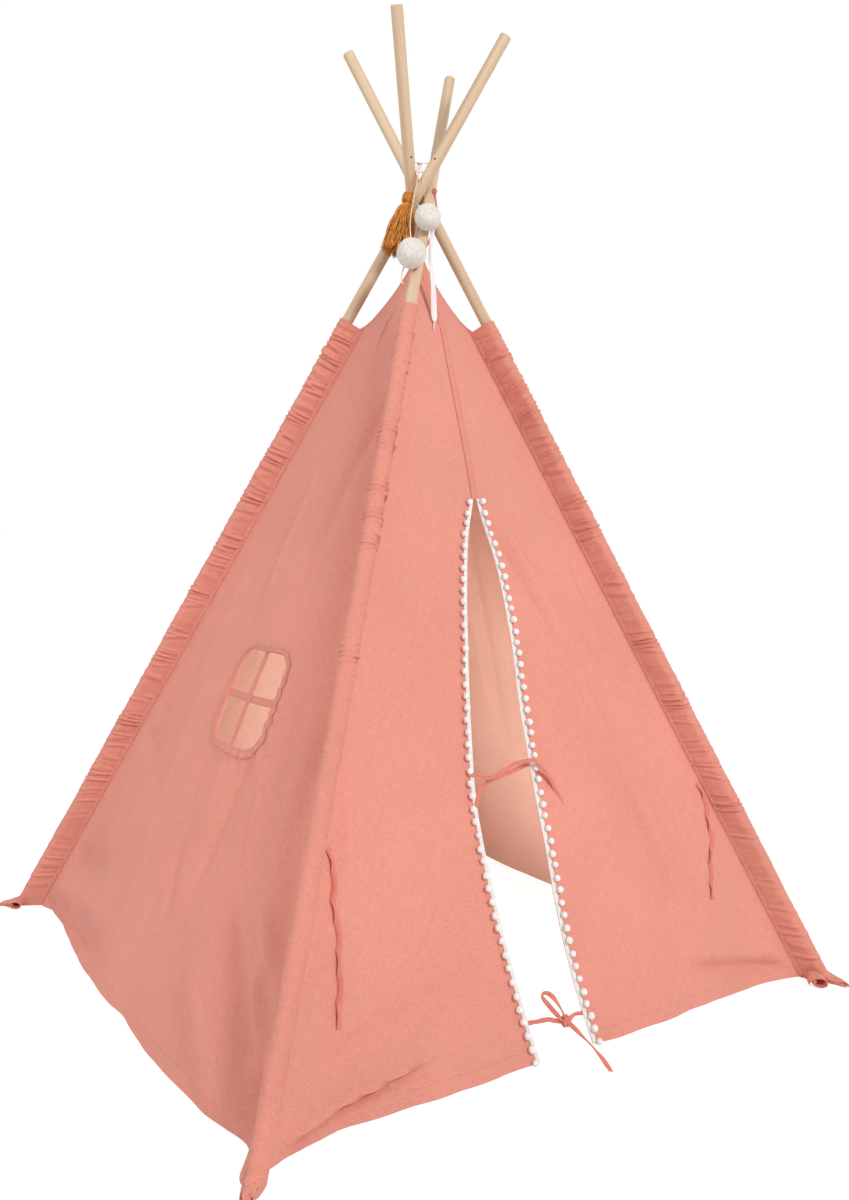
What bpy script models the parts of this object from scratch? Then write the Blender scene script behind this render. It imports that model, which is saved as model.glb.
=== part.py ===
"""Child's play tent: four lashed poles, a four-sided cotton cover and its hanging trimmings.

Metres, +Z up. The origin is on the floor, at the middle of the base.
The door side faces -Y and the side with the window faces -X.
"""
import math

import bmesh
import bpy
from mathutils import Matrix, Vector
from mathutils.geometry import intersect_line_line

# Pole frame
BASE_WIDTH = 1.056
BASE_DEPTH = 1.024
CROSSING_HEIGHT = 1.320
POLE_LENGTH = 1.793
POLE_DIAMETER = 0.020
POLE_GAP = 0.0005
POLE_CHAMFER = 0.0010
POLE_SIDES = 24
FERRULE_LENGTH = 0.090
FERRULE_WALL = 0.0007
FERRULE_EASE = 0.00025
CORD_HOLE_DIAMETER = 0.0040
CORD_HOLE_DROP = 0.230
# Each cord hole's turn from the straight line to the hole that its cord runs to
CORD_HOLE_TURN_DEG = {"front_left": 103.0, "front_right": -97.0, "back_right": -70.0, "back_left": 68.0}
LASHED_TO = {"front_left": "front_right", "front_right": "front_left",
             "back_right": "back_left", "back_left": "back_right"}

# Clearance between touching pieces, and how far a cutter runs past what it cuts
GAP = 0.0003
OVERRUN = 0.0200

# Cover
CLOTH = 0.0012
SLEEVE_EASE = 0.0016
SLEEVE_WALL = 0.0008
SLEEVE_TAIL = 0.0320
SLEEVE_SEAM = 0.0030
SLEEVE_LENGTH = 1.254
SLEEVE_SEAM_ALLOWANCE = 0.0080
SLEEVE_ROWS = 22
SLEEVE_ARC_POINTS = 9
GATHER_DEPTH = 0.0022
EAR_LENGTHS = {"front_left": 0.0240, "front_right": 0.0340, "back_right": 0.0467, "back_left": 0.0320}
EAR_RISE = 0.0220
EAR_TURN_DEG = {"front_left": 0.0, "front_right": -46.0, "back_right": 2.6, "back_left": 44.0}
HEM_CLEARANCE = 0.0010
SEAM_SPREAD = 0.0012
PEAK_DROP = 0.106
PEAK_HEIGHT = CROSSING_HEIGHT - PEAK_DROP
PEAK_RADIUS = 0.0060
PEAK_HOLLOW = 0.0050
PANEL_COLUMNS = 12
PANEL_ROWS = 14
PEAK_ROWS = 3

# How far each side hangs in from the straight line between its corners, at the hem
FRONT_BOW = 0.010
WINDOW_BOW = -0.028
RIGHT_BOW = 0.066
BACK_BOW = 0.030

# Door: a slit in the front, whose two flaps fold back along straight lines
DOOR_HEIGHT = 0.797
DOOR_SPREAD = 0.105
FOLD_REACH = 0.400
FLAP_TOP_SHARE = 0.955
FLAP_COLUMNS = 4
FLAP_ROWS = 14
HALF_COLUMNS = 7
HALF_ROWS = 20
HALF_SLIT_SHARE = 0.55
HALF_SEAM_SHARE = 0.80
DOOR_LEFT_SHARES = ((0.00, 0.72), (0.08, 0.84), (0.20, 0.95), (0.30, 1.00), (0.42, 0.99), (0.51, 0.91),
                    (0.65, 0.73), (0.71, 0.64), (0.82, 0.47), (0.92, 0.27), (1.00, 0.03))
DOOR_RIGHT_SHARES = ((0.00, 0.26), (0.06, 0.16), (0.12, 0.09), (0.20, 0.04), (0.36, 0.07), (0.50, 0.09),
                     (0.63, 0.11), (0.73, 0.16), (0.87, 0.15), (0.94, 0.08), (1.00, 0.03))
PLACKET_WIDTH = 0.0120
PLACKET_THICKNESS = 0.0010
PLACKET_ROWS = 8

# Pompom trim
TAPE_WIDTH = 0.0065
TAPE_THICKNESS = 0.0016
TAPE_ROWS = 20
POM_DIAMETER = 0.0100
POM_PITCH = 0.0178
POM_REACH_SHARE = 0.10
TRIM_START = {"left": 0.016, "right": 0.006}

# Window
WINDOW_WIDTH = 0.152
WINDOW_HEIGHT = 0.156
WINDOW_CORNER = 0.034
WINDOW_OFFSET = 0.040
WINDOW_MIDDLE_HEIGHT = 0.468
WINDOW_CORNER_POINTS = 6
FACING_WIDTH = 0.0130
STRAP_WIDTH = 0.0110
STRAP_LAP = 0.0100
STRAP_ROWS = 8
STRIP_THICKNESS = 0.0008

# Ribbons and laces
RIBBON_WIDTH = 0.0090
RIBBON_THICKNESS = 0.0012
TIEBACK_STANDOFF = 0.0020
APEX_TIE_WIDTH = 0.0045
KNOT_WIDTH = 0.0146
KNOT_DEPTH = 0.0130
KNOT_HEIGHT = 0.0170
LACE_WIDTH = 0.0095
LACE_THICKNESS = 0.0010
LACE_TURN_SHARE = 0.4
AGLET_LENGTH = 0.0170
AGLET_DIAMETER = 0.0022
LASHING_DIAMETER = 0.0016
LASHING_TUCK = 0.0060
LASHING_BEND = 0.0150
THREAD_DIAMETER = 0.0026
THIN_THREAD_DIAMETER = 0.0012

# Hanging trimmings: each rests beside a pole, some way down it from the crossing, at a turn round it
BALL_UPPER_DIAMETER = 0.0440
BALL_LOWER_DIAMETER = 0.0490
BALL_UPPER_DROP = 0.0834
BALL_UPPER_TURN_DEG = 21.7
BALL_LOWER_DROP = 0.1670
BALL_LOWER_TURN_DEG = -5.1
BALL_TAIL_LENGTH = 0.0280
BALL_TAIL_TURN_DEG = 145.0
BALL_TAIL_DIP_DEG = 62.0
TASSEL_HEAD_DIAMETER = 0.0160
TASSEL_HEAD_LENGTH = 0.0240
TASSEL_HEAD_DROP = 0.0200
TASSEL_HEAD_TURN_DEG = 70.0
TASSEL_SKIRT_LENGTH = 0.0880
TASSEL_SKIRT_DIAMETER = 0.0520
TASSEL_SKIRT_DROP = 0.1130
TASSEL_SKIRT_TURN_DEG = 128.0
TASSEL_SKIRT_STANDOFF = 0.0100
TASSEL_STRANDS = 14
TASSEL_STRAND_DEPTH_SHARE = 0.10
# Where each hangs on the lashing, as a share of its front stretch from the back right to the back left pole
TASSEL_HANG_SHARE = 0.38
BALL_LOWER_HANG_SHARE = 0.43
BALL_UPPER_HANG_SHARE = 0.48

POLE_RADIUS = POLE_DIAMETER / 2
SLEEVE_INNER = POLE_RADIUS + SLEEVE_EASE
SLEEVE_OUTER = SLEEVE_INNER + SLEEVE_WALL
PANEL_EDGE_GAP = GAP + CLOTH / 2
UP = Vector((0, 0, 1))
CORNERS = {"front_left": (-1, -1), "front_right": (1, -1), "back_right": (1, 1), "back_left": (-1, 1)}
# Each side of the cover: left and right corner seen from outside, bow, and how far the bow leans right
SIDES = {
    "front": ("front_left", "front_right", FRONT_BOW, 1.0),
    "right": ("front_right", "back_right", RIGHT_BOW, 1.85),
    "back": ("back_right", "back_left", BACK_BOW, 1.0),
    "window": ("back_left", "front_left", WINDOW_BOW, 1.25),
}
COLOURS = {
    "pine": (0.72, 0.55, 0.36, 0.62, 0.0),
    "steel": (0.60, 0.60, 0.62, 0.35, 1.0),
    "cover": (0.84, 0.36, 0.28, 0.90, 0.0),
    "sleeve": (0.76, 0.30, 0.23, 0.90, 0.0),
    "trim": (0.88, 0.86, 0.83, 0.90, 0.0),
    "felt": (0.76, 0.73, 0.69, 0.95, 0.0),
    "mustard": (0.49, 0.19, 0.04, 0.85, 0.0),
    "cord": (0.80, 0.78, 0.74, 0.80, 0.0),
    "thread": (0.72, 0.60, 0.45, 0.80, 0.0),
    "aglet": (0.85, 0.80, 0.74, 0.30, 0.0),
}


def clear_scene():
    for obj in list(bpy.data.objects):
        bpy.data.objects.remove(obj, do_unlink=True)


def material(name, colour):
    mat = bpy.data.materials.new(name)
    mat.use_nodes = True
    shader = mat.node_tree.nodes["Principled BSDF"]
    red, green, blue, roughness, metallic = COLOURS[colour]
    shader.inputs["Base Color"].default_value = (red, green, blue, 1)
    shader.inputs["Roughness"].default_value = roughness
    shader.inputs["Metallic"].default_value = metallic
    return mat


def add_object(name, data, colour, axis=None):
    """Link one sub-part under its name, with its own material, below the empty on its joint's axis."""
    obj = bpy.data.objects.new(name, data)
    bpy.context.collection.objects.link(obj)
    data.materials.append(material(name, colour))
    if axis is not None:
        obj.parent = axis
        obj.matrix_parent_inverse = Matrix.Translation(-axis.location)
    return obj


def add_axis(name, place):
    """An empty on a joint's axis, which carries what that joint moves."""
    empty = bpy.data.objects.new(name, None)
    empty.location = place
    bpy.context.collection.objects.link(empty)
    return empty


def as_cutter(obj):
    obj.hide_render = True
    obj.display_type = "WIRE"
    return obj


def boolean(obj, other, operation):
    mod = obj.modifiers.new(operation.title(), "BOOLEAN")
    mod.operation = operation
    mod.solver = "EXACT"
    mod.object = as_cutter(other)


def solidify(obj, thickness):
    mod = obj.modifiers.new("Thickness", "SOLIDIFY")
    mod.thickness = thickness
    mod.offset = 0


def mesh_from(bm, name, smooth_angle=None):
    mesh = bpy.data.meshes.new(name)
    bmesh.ops.recalc_face_normals(bm, faces=bm.faces)
    bm.to_mesh(mesh)
    bm.free()
    if smooth_angle is not None:
        mesh.shade_smooth()
        mesh.set_sharp_from_angle(angle=math.radians(smooth_angle))
    return mesh


def smooth_table(table, position):
    """Read a table of (position, value) pairs as one smooth curve through its points."""
    last = len(table) - 1
    index = max(0, min(last - 1, sum(1 for item in table[1:] if item[0] <= position)))
    before, start = table[max(index - 1, 0)], table[index]
    end, after = table[index + 1], table[min(index + 2, last)]
    span = end[0] - start[0]
    share = (position - start[0]) / span
    slope_start = (end[1] - before[1]) / (end[0] - before[0]) * span
    slope_end = (after[1] - start[1]) / (after[0] - start[0]) * span
    square, cube = share ** 2, share ** 3
    return ((2 * cube - 3 * square + 1) * start[1] + (cube - 2 * square + share) * slope_start
            + (3 * square - 2 * cube) * end[1] + (cube - square) * slope_end)


def smooth_route(points, steps):
    """Points along one smooth curve through the given points."""
    points = [Vector(p) for p in points]
    ends = [2 * points[0] - points[1]] + points + [2 * points[-1] - points[-2]]
    route = []
    for index in range(len(points) - 1):
        a, b, c, d = ends[index:index + 4]
        for step in range(steps):
            t = step / steps
            route.append(0.5 * (2 * b + (c - a) * t + (2 * a - 5 * b + 4 * c - d) * t ** 2
                                + (3 * b - a - 3 * c + d) * t ** 3))
    route.append(points[-1])
    return route


# Pole lines

def foot_point(corner):
    across, along = CORNERS[corner]
    return Vector((across * BASE_WIDTH / 2, along * BASE_DEPTH / 2, 0))


def radial_and_tangent(corner):
    radial = foot_point(corner).normalized()
    return radial, UP.cross(radial)


def crossing_point(corner, offset):
    return radial_and_tangent(corner)[1] * offset + UP * CROSSING_HEIGHT


def line_distance(first, second, offset):
    ends = []
    for corner in (first, second):
        ends += [foot_point(corner), crossing_point(corner, offset)]
    near_first, near_second = intersect_line_line(*ends)
    return (near_first - near_second).length


def crossing_offset():
    """How far each pole passes beside the middle, so that neighbouring poles just touch."""
    names = list(CORNERS)
    trial = POLE_RADIUS
    distances = [line_distance(names[i], names[i - 1], trial) for i in range(len(names))]
    return trial * (POLE_DIAMETER + POLE_GAP) / min(distances)


CROSSING_OFFSET = crossing_offset()


class Pole:
    """One pole's centre line: foot on the floor, crossing, direction, and the side that faces out."""

    def __init__(self, corner):
        self.corner = corner
        self.foot = foot_point(corner)
        self.crossing = crossing_point(corner, CROSSING_OFFSET)
        self.radial, self.tangent = radial_and_tangent(corner)
        self.direction = (self.crossing - self.foot).normalized()
        self.out = (self.radial - self.direction * self.radial.dot(self.direction)).normalized()
        self.side = self.direction.cross(self.out)
        self.slope = math.sqrt(1 - self.direction.z ** 2)
        self.start = (SLEEVE_WALL + GAP + POLE_RADIUS * self.slope) / self.direction.z
        self.crossing_along = (self.crossing - self.foot).length

    def at(self, along, out=0.0, side=0.0):
        return self.foot + self.direction * along + self.out * out + self.side * side

    def beside(self, drop, turn_deg, distance):
        """A place beside the pole: down from the crossing, at a turn round it, and out from its axis."""
        turn = math.radians(turn_deg)
        along = self.crossing_along - drop
        return self.at(along, distance * math.cos(turn), distance * math.sin(turn))

    def hole(self):
        return self.at(self.start + POLE_LENGTH - CORD_HOLE_DROP)

    def hole_direction(self):
        span = POLES[LASHED_TO[self.corner]].hole() - self.hole()
        turn = math.atan2(span.y, span.x) + math.radians(CORD_HOLE_TURN_DEG[self.corner])
        return Vector((math.cos(turn), math.sin(turn), 0))


POLES = {corner: Pole(corner) for corner in CORNERS}


def rotation_to(direction):
    return direction.to_track_quat("Z", "Y")


def rod(name, centre, direction, radius, length, sides, colour, axis=None, chamfer=0.0):
    bm = bmesh.new()
    bmesh.ops.create_cone(bm, cap_ends=True, segments=sides, radius1=radius, radius2=radius, depth=length)
    if chamfer:
        rims = [edge for edge in bm.edges if len(edge.link_faces) == 2
                and any(len(face.verts) > 4 for face in edge.link_faces)]
        bmesh.ops.bevel(bm, geom=rims, offset=chamfer, segments=1, affect="EDGES", profile=0.5)
    obj = add_object(name, mesh_from(bm, name, 40), colour)
    obj.rotation_mode = "QUATERNION"
    obj.rotation_quaternion = rotation_to(direction)
    obj.location = centre
    if axis is not None:
        obj.parent = axis
        obj.matrix_parent_inverse = Matrix.Translation(-axis.location)
    return obj


def build_pole(pole, axis):
    corner = pole.corner
    half = POLE_LENGTH / 2
    joint = pole.start + half
    section = half - GAP
    lower_middle = joint - GAP - section / 2
    upper_middle = joint + GAP + section / 2
    rod("pole_lower_" + corner, pole.at(lower_middle), pole.direction, POLE_RADIUS, section, POLE_SIDES,
        "pine", axis, POLE_CHAMFER)
    upper = rod("pole_upper_" + corner, pole.at(upper_middle), pole.direction, POLE_RADIUS, section,
                POLE_SIDES, "pine", axis, POLE_CHAMFER)
    drill = rod("cutter_hole_" + corner, pole.hole(), pole.hole_direction(), CORD_HOLE_DIAMETER / 2,
                POLE_DIAMETER + OVERRUN, 12, "pine")
    boolean(upper, drill, "DIFFERENCE")
    inner = POLE_RADIUS + FERRULE_EASE
    ferrule = rod("ferrule_" + corner, pole.at(joint), pole.direction, inner + FERRULE_WALL, FERRULE_LENGTH,
                  POLE_SIDES, "steel", axis)
    bore = rod("cutter_ferrule_" + corner, pole.at(joint), pole.direction, inner, FERRULE_LENGTH + OVERRUN,
               POLE_SIDES, "steel")
    boolean(ferrule, bore, "DIFFERENCE")


# Cover surfaces

def seam_point(pole, height):
    """Where the panels meet the sleeve's inner seam, at a height."""
    reach = SLEEVE_TAIL + PANEL_EDGE_GAP
    start = pole.at(0, -reach)
    return start + pole.direction * ((height - start.z) / pole.direction.z)


def sleeve_top_height(pole):
    return pole.at(pole.start + SLEEVE_LENGTH, -(SLEEVE_TAIL + PANEL_EDGE_GAP)).z


SEAM_TOP = min(sleeve_top_height(pole) for pole in POLES.values())


def corner_edge(corner, height):
    """The line where two sides of the cover meet: up the sleeve's seam, then in to the peak."""
    pole = POLES[corner]
    if height <= SEAM_TOP:
        return seam_point(pole, height)
    share = (height - SEAM_TOP) / (PEAK_HEIGHT - SEAM_TOP)
    low = seam_point(pole, SEAM_TOP)
    tip = pole.radial * PEAK_RADIUS
    hollow = PEAK_HOLLOW * 4 * share * (1 - share)
    place = low.lerp(Vector((tip.x, tip.y, low.z)), share) - pole.radial * hollow
    place.z = height
    return place


def side_row(side, height):
    """One level of a side: its left and right ends, its direction and the way out."""
    left, right = SIDES[side][:2]
    start, end = corner_edge(left, height), corner_edge(right, height)
    across = (end - start).normalized()
    outward = across.cross(UP)
    return start + across * SEAM_SPREAD, end - across * SEAM_SPREAD, across, outward


def level_share(height):
    return max(0.0, 1 - height / PEAK_HEIGHT)


def side_point(side, share, height):
    """A point of a whole side, from its left edge (0) to its right edge (1), with its bow."""
    start, end, across, outward = side_row(side, height)
    bow, lean = SIDES[side][2:]
    hang = bow * level_share(height) * math.sin(math.pi * share ** lean)
    return start.lerp(end, share) - outward * hang


def front_middle(height):
    start, end, across, outward = side_row("front", height)
    return start.lerp(end, 0.5) - outward * FRONT_BOW * level_share(height)


def fold_end(hand):
    start, end, across, outward = side_row("front", HEM_CLEARANCE)
    return front_middle(HEM_CLEARANCE) + across * FOLD_REACH * hand


def fold_point(hand, height):
    """The straight fold line of a door flap, from the top of the slit to the hem."""
    share = (height - HEM_CLEARANCE) / (DOOR_HEIGHT - HEM_CLEARANCE)
    return fold_end(hand).lerp(front_middle(DOOR_HEIGHT), share)


def door_across():
    return (fold_end(1) - fold_end(-1)).normalized()


def door_out():
    """Outward normal of the flat triangle that the two flaps lie in."""
    return door_across().cross(front_middle(DOOR_HEIGHT) - fold_end(1)).normalized()


def door_point(offset, height, out=0.0):
    """A place on the door triangle: sideways from its middle, up, and out from the cloth's middle."""
    middle = (fold_point(-1, height) + fold_point(1, height)) / 2
    return middle + door_across() * offset + door_out() * out


def door_edge_offset(hand, height):
    share = (height - HEM_CLEARANCE) / (DOOR_HEIGHT - HEM_CLEARANCE)
    if hand < 0:
        return -DOOR_SPREAD * smooth_table(DOOR_LEFT_SHARES, share)
    return DOOR_SPREAD * smooth_table(DOOR_RIGHT_SHARES, share)


def sheet(name, surface, columns, rows, thickness, colour, axis):
    """A thin closed sheet over a surface given by two shares."""
    bm = bmesh.new()
    bmesh.ops.create_grid(bm, x_segments=columns, y_segments=rows, size=0.5)
    for vert in bm.verts:
        vert.co = surface(vert.co.x + 0.5, vert.co.y + 0.5)
    obj = add_object(name, mesh_from(bm, name, 60), colour, axis)
    solidify(obj, thickness)
    return obj


def panel_height(share):
    """Row heights: even up to the sleeves' tops, with the last few rows in the peak."""
    peak_share = PEAK_ROWS / PANEL_ROWS
    if share <= 1 - peak_share:
        return HEM_CLEARANCE + (SEAM_TOP - HEM_CLEARANCE) * share / (1 - peak_share)
    return SEAM_TOP + (PEAK_HEIGHT - SEAM_TOP) * (share - 1 + peak_share) / peak_share


def build_side(side, name, axis):
    return sheet(name, lambda u, v: side_point(side, u, panel_height(v)), PANEL_COLUMNS, PANEL_ROWS, CLOTH,
                 "cover", axis)


def half_height(share):
    """Row heights of a front half, with one row at the top of the slit and one at the sleeves' tops."""
    low, high = HALF_SLIT_SHARE, HALF_SEAM_SHARE
    if share <= low:
        return HEM_CLEARANCE + (DOOR_HEIGHT - HEM_CLEARANCE) * share / low
    if share <= high:
        return DOOR_HEIGHT + (SEAM_TOP - DOOR_HEIGHT) * (share - low) / (high - low)
    return SEAM_TOP + (PEAK_HEIGHT - SEAM_TOP) * (share - high) / (1 - high)


def front_tangent(height):
    """Which way the front runs at its middle: along the door triangle, then turning to the peak's edge."""
    share = max(0.0, min(1.0, (height - DOOR_HEIGHT) / (SEAM_TOP - DOOR_HEIGHT)))
    return door_across().lerp(side_row("front", height)[2], share).normalized()


def front_half_point(hand, share, height):
    """A point of a front half's fixed part, from its corner (0) to the fold line or centre seam (1)."""
    start, end, across, outward = side_row("front", height)
    outer = start if hand < 0 else end
    tangent = front_tangent(height)
    middle = fold_point(hand, height) if height < DOOR_HEIGHT else front_middle(height)
    inner = middle + tangent * hand * GAP
    way_out = tangent.cross(UP)
    rest = 1 - share
    span = outer - inner
    return inner + tangent * span.dot(tangent) * rest + way_out * span.dot(way_out) * rest ** 2


def build_front_half(hand, name, axis):
    return sheet(name, lambda u, v: front_half_point(hand, u, half_height(v)), HALF_COLUMNS, HALF_ROWS,
                 CLOTH, "cover", axis)


def flap_point(hand, share, height):
    """A point of a door flap, from its fold line (0) to its free edge (1)."""
    fold = (fold_point(hand, height) - door_point(0, height)).dot(door_across()) - hand * GAP
    edge = door_edge_offset(hand, height)
    return door_point(fold + (edge - fold) * share, height)


def flap_height(share):
    return HEM_CLEARANCE + (DOOR_HEIGHT * FLAP_TOP_SHARE - HEM_CLEARANCE) * share


def build_flap(hand, name, axis):
    return sheet(name, lambda u, v: flap_point(hand, u, flap_height(v)), FLAP_COLUMNS, FLAP_ROWS, CLOTH,
                 "cover", axis)


def build_placket(name, axis):
    """The stitched centre seam above the slit."""
    out = CLOTH / 2 + GAP + PLACKET_THICKNESS / 2

    def surface(u, v):
        share = v * PLACKET_ROWS / (PLACKET_ROWS + 1)
        height = half_height(HALF_SLIT_SHARE + (1 - HALF_SLIT_SHARE) * share)
        start, end = side_row("front", height)[:2]
        width = min(PLACKET_WIDTH, (end - start).length / 2)
        return front_middle(height) + front_tangent(height) * width * (u - 0.5) + door_out() * out

    return sheet(name, surface, 2, PLACKET_ROWS, PLACKET_THICKNESS, "cover", axis)


# Sleeves

def sleeve_section(radius, tail, half_edge):
    """A teardrop round the pole: an arc that faces out, and straight sides that meet at the inner seam."""
    lift = math.acos((radius - half_edge) / tail)
    sweep = math.pi - lift
    points = []
    for index in range(SLEEVE_ARC_POINTS):
        turn = -sweep + 2 * sweep * index / (SLEEVE_ARC_POINTS - 1)
        points.append((radius * math.cos(turn), radius * math.sin(turn)))
    points.append((-tail, half_edge))
    points.append((-tail, -half_edge))
    return points


def sleeve_ring(bm, pole, section, floor, share, bulge=0.0, ear=0.0):
    """One ring of a sleeve, from its flat foot at a floor height (0) to its open top (1)."""
    turn = math.radians(EAR_TURN_DEG[pole.corner])
    ear_way = Matrix.Rotation(turn, 3, "Z") @ pole.radial
    top = pole.start + SLEEVE_LENGTH
    ring = []
    for out, side in section:
        facing = max(0.0, out / SLEEVE_OUTER)
        grown = 1 + bulge * (out > -SLEEVE_OUTER) / SLEEVE_OUTER
        base = pole.at(0, out * grown, side * grown)
        low = (floor - base.z) / pole.direction.z
        place = base + pole.direction * (low + (top - low) * share)
        ring.append(bm.verts.new(place + ear_way * ear * facing ** 2))
    return ring


def bridge(bm, lower, upper):
    count = len(lower)
    for index in range(count):
        after = (index + 1) % count
        bm.faces.new((lower[index], lower[after], upper[after], upper[index]))


def build_sleeve(pole, axis):
    """A cloth pocket round the pole: closed and flat at the foot, open at the top, gathered along it."""
    name = "sleeve_" + pole.corner
    outer = sleeve_section(SLEEVE_OUTER, SLEEVE_TAIL, SLEEVE_SEAM / 2)
    inner = sleeve_section(SLEEVE_INNER, SLEEVE_TAIL - SLEEVE_SEAM_ALLOWANCE, SLEEVE_SEAM / 2 - SLEEVE_WALL)
    ear = EAR_LENGTHS[pole.corner]
    ear_share = EAR_RISE / SLEEVE_LENGTH
    bm = bmesh.new()
    rings = [sleeve_ring(bm, pole, outer, 0, 0, 0, ear),
             sleeve_ring(bm, pole, outer, 0, ear_share / 5, 0, ear),
             sleeve_ring(bm, pole, outer, 0, ear_share / 2, 0, ear / 4)]
    for row in range(SLEEVE_ROWS + 1):
        share = ear_share + (1 - ear_share) * row / SLEEVE_ROWS
        gather = (row % 2) * (0.35 + 0.65 * math.sin(1.7 * row) ** 2)
        rings.append(sleeve_ring(bm, pole, outer, 0, share, GATHER_DEPTH * gather))
    rings.append(sleeve_ring(bm, pole, inner, SLEEVE_WALL, 1))
    rings.append(sleeve_ring(bm, pole, inner, SLEEVE_WALL, 0))
    for lower, upper in zip(rings, rings[1:]):
        bridge(bm, lower, upper)
    bm.faces.new(list(reversed(rings[0])))
    bm.faces.new(rings[-1])
    return add_object(name, mesh_from(bm, name, 50), "sleeve", axis)


# Window

def window_outline(grow=0.0):
    """The rounded window outline, as (sideways, up the cloth) from its middle."""
    width = WINDOW_WIDTH / 2 + grow
    height = WINDOW_HEIGHT / 2 + grow
    corner = WINDOW_CORNER + grow
    points = []
    for quarter in range(4):
        across = (1, -1, -1, 1)[quarter]
        rise = (1, 1, -1, -1)[quarter]
        for step in range(WINDOW_CORNER_POINTS):
            turn = math.pi / 2 * (quarter + step / (WINDOW_CORNER_POINTS - 1))
            points.append((across * (width - corner) + corner * math.cos(turn),
                           rise * (height - corner) + corner * math.sin(turn)))
    return points


def window_point(sideways, rise, out=0.0):
    """A place on the window side, measured along the cloth from the window's middle, and out from it."""
    slope = math.hypot(CROSSING_HEIGHT, BASE_WIDTH / 2) / CROSSING_HEIGHT
    height = WINDOW_MIDDLE_HEIGHT + rise / slope

    def place(offset, level):
        start, end, across, outward = side_row("window", level)
        length = (end - start).length
        middle = (end - start).dot(across) / 2
        return side_point("window", (middle + offset) / length, level)

    step = STRAP_WIDTH
    here = place(WINDOW_OFFSET + sideways, height)
    run = place(WINDOW_OFFSET + sideways + step, height) - here
    climb = place(WINDOW_OFFSET + sideways, height + step) - here
    normal = run.cross(climb).normalized()
    return here + normal * out


def build_window(panel, axis):
    outline = window_outline()
    bm = bmesh.new()
    rings = [[bm.verts.new(window_point(a, b, out)) for a, b in outline] for out in (-OVERRUN, OVERRUN)]
    bridge(bm, *rings)
    bm.faces.new(list(reversed(rings[0])))
    bm.faces.new(rings[1])
    cutter = add_object("cutter_window", mesh_from(bm, "cutter_window"), "cover")
    boolean(panel, cutter, "DIFFERENCE")

    layer = STRIP_THICKNESS + GAP
    first = -(CLOTH / 2 + GAP + STRIP_THICKNESS / 2)
    bm = bmesh.new()
    depth = first - 2 * layer
    inside = [bm.verts.new(window_point(a, b, depth)) for a, b in outline]
    outside = [bm.verts.new(window_point(a, b, depth)) for a, b in window_outline(FACING_WIDTH)]
    bridge(bm, inside, outside)
    facing = add_object("window_facing", mesh_from(bm, "window_facing", 60), "cover", axis)
    solidify(facing, STRIP_THICKNESS)

    tall = WINDOW_HEIGHT / 2 + STRAP_LAP
    wide = WINDOW_WIDTH / 2 + STRAP_LAP
    sheet("window_strap_vertical",
          lambda u, v: window_point(STRAP_WIDTH * (u - 0.5), tall * (2 * v - 1), first),
          1, STRAP_ROWS, STRIP_THICKNESS, "cover", axis)
    sheet("window_strap_horizontal",
          lambda u, v: window_point(wide * (2 * v - 1), STRAP_WIDTH * (u - 0.5), first - layer),
          1, STRAP_ROWS, STRIP_THICKNESS, "cover", axis)


# Pompom trim

def build_trim(hand, name, axis):
    """A tape on the flap's free edge with a row of pompoms, joined into one piece."""
    tape_out = CLOTH / 2 + GAP + TAPE_THICKNESS / 2
    pom_out = CLOTH / 2 + GAP + POM_DIAMETER / 2
    start = DOOR_HEIGHT - TRIM_START["left" if hand < 0 else "right"]

    def edge(height, inset, out):
        return door_point(door_edge_offset(hand, height) + hand * inset, height, out)

    def surface(u, v):
        return edge(HEM_CLEARANCE + (start - HEM_CLEARANCE) * v, TAPE_WIDTH * u, tape_out)

    tape = sheet(name, surface, 1, TAPE_ROWS, TAPE_THICKNESS, "trim", axis)
    poms = bmesh.new()
    reach = TAPE_WIDTH + POM_DIAMETER / 2 * POM_REACH_SHARE
    drop = start - HEM_CLEARANCE - POM_DIAMETER
    count = int(drop / (POM_PITCH * math.hypot(door_out().x, door_out().y)))
    for index in range(count):
        height = start - POM_DIAMETER / 2 - index * drop / (count - 1)
        place = Matrix.Translation(edge(height, reach, pom_out))
        bmesh.ops.create_icosphere(poms, subdivisions=1, radius=POM_DIAMETER / 2, matrix=place)
    balls = add_object("cutter_" + name, mesh_from(poms, "cutter_" + name), "trim")
    boolean(tape, balls, "UNION")
    return tape


# Ribbons, laces and cords

def ribbon(name, points, width, thickness, facing, colour, axis):
    """A flat strip along a smooth route, whose face looks one way."""
    route = smooth_route(points, 3)
    last = len(route) - 1
    bm = bmesh.new()
    rows = []
    for index, place in enumerate(route):
        along = (route[min(index + 1, last)] - route[max(index - 1, 0)]).normalized()
        across = along.cross(facing).normalized()
        rows.append([bm.verts.new(place + across * width * half) for half in (-0.5, 0.5)])
    for lower, upper in zip(rows, rows[1:]):
        bm.faces.new((lower[0], lower[1], upper[1], upper[0]))
    obj = add_object(name, mesh_from(bm, name, 60), colour, axis)
    solidify(obj, thickness)
    return obj


def tube(name, points, diameter, colour, axis, steps=4):
    curve = bpy.data.curves.new(name, "CURVE")
    curve.dimensions = "3D"
    curve.bevel_depth = diameter / 2
    curve.bevel_resolution = 2
    curve.use_fill_caps = True
    route = smooth_route(points, steps)
    spline = curve.splines.new("POLY")
    spline.points.add(len(route) - 1)
    for point, place in zip(spline.points, route):
        point.co = (*place, 1)
    spline.use_smooth = True
    return add_object(name, curve, colour, axis)


def lashing_route(first, second):
    """In the first pole's hole, out behind it, across to the second pole and into its hole."""
    points = []
    for pole, order in ((POLES[first], 1), (POLES[second], -1)):
        way = pole.hole_direction()
        stops = [pole.hole() + way * stop for stop in (LASHING_TUCK, 0, -POLE_RADIUS, -LASHING_BEND)]
        points += stops[::order]
    return points


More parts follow.
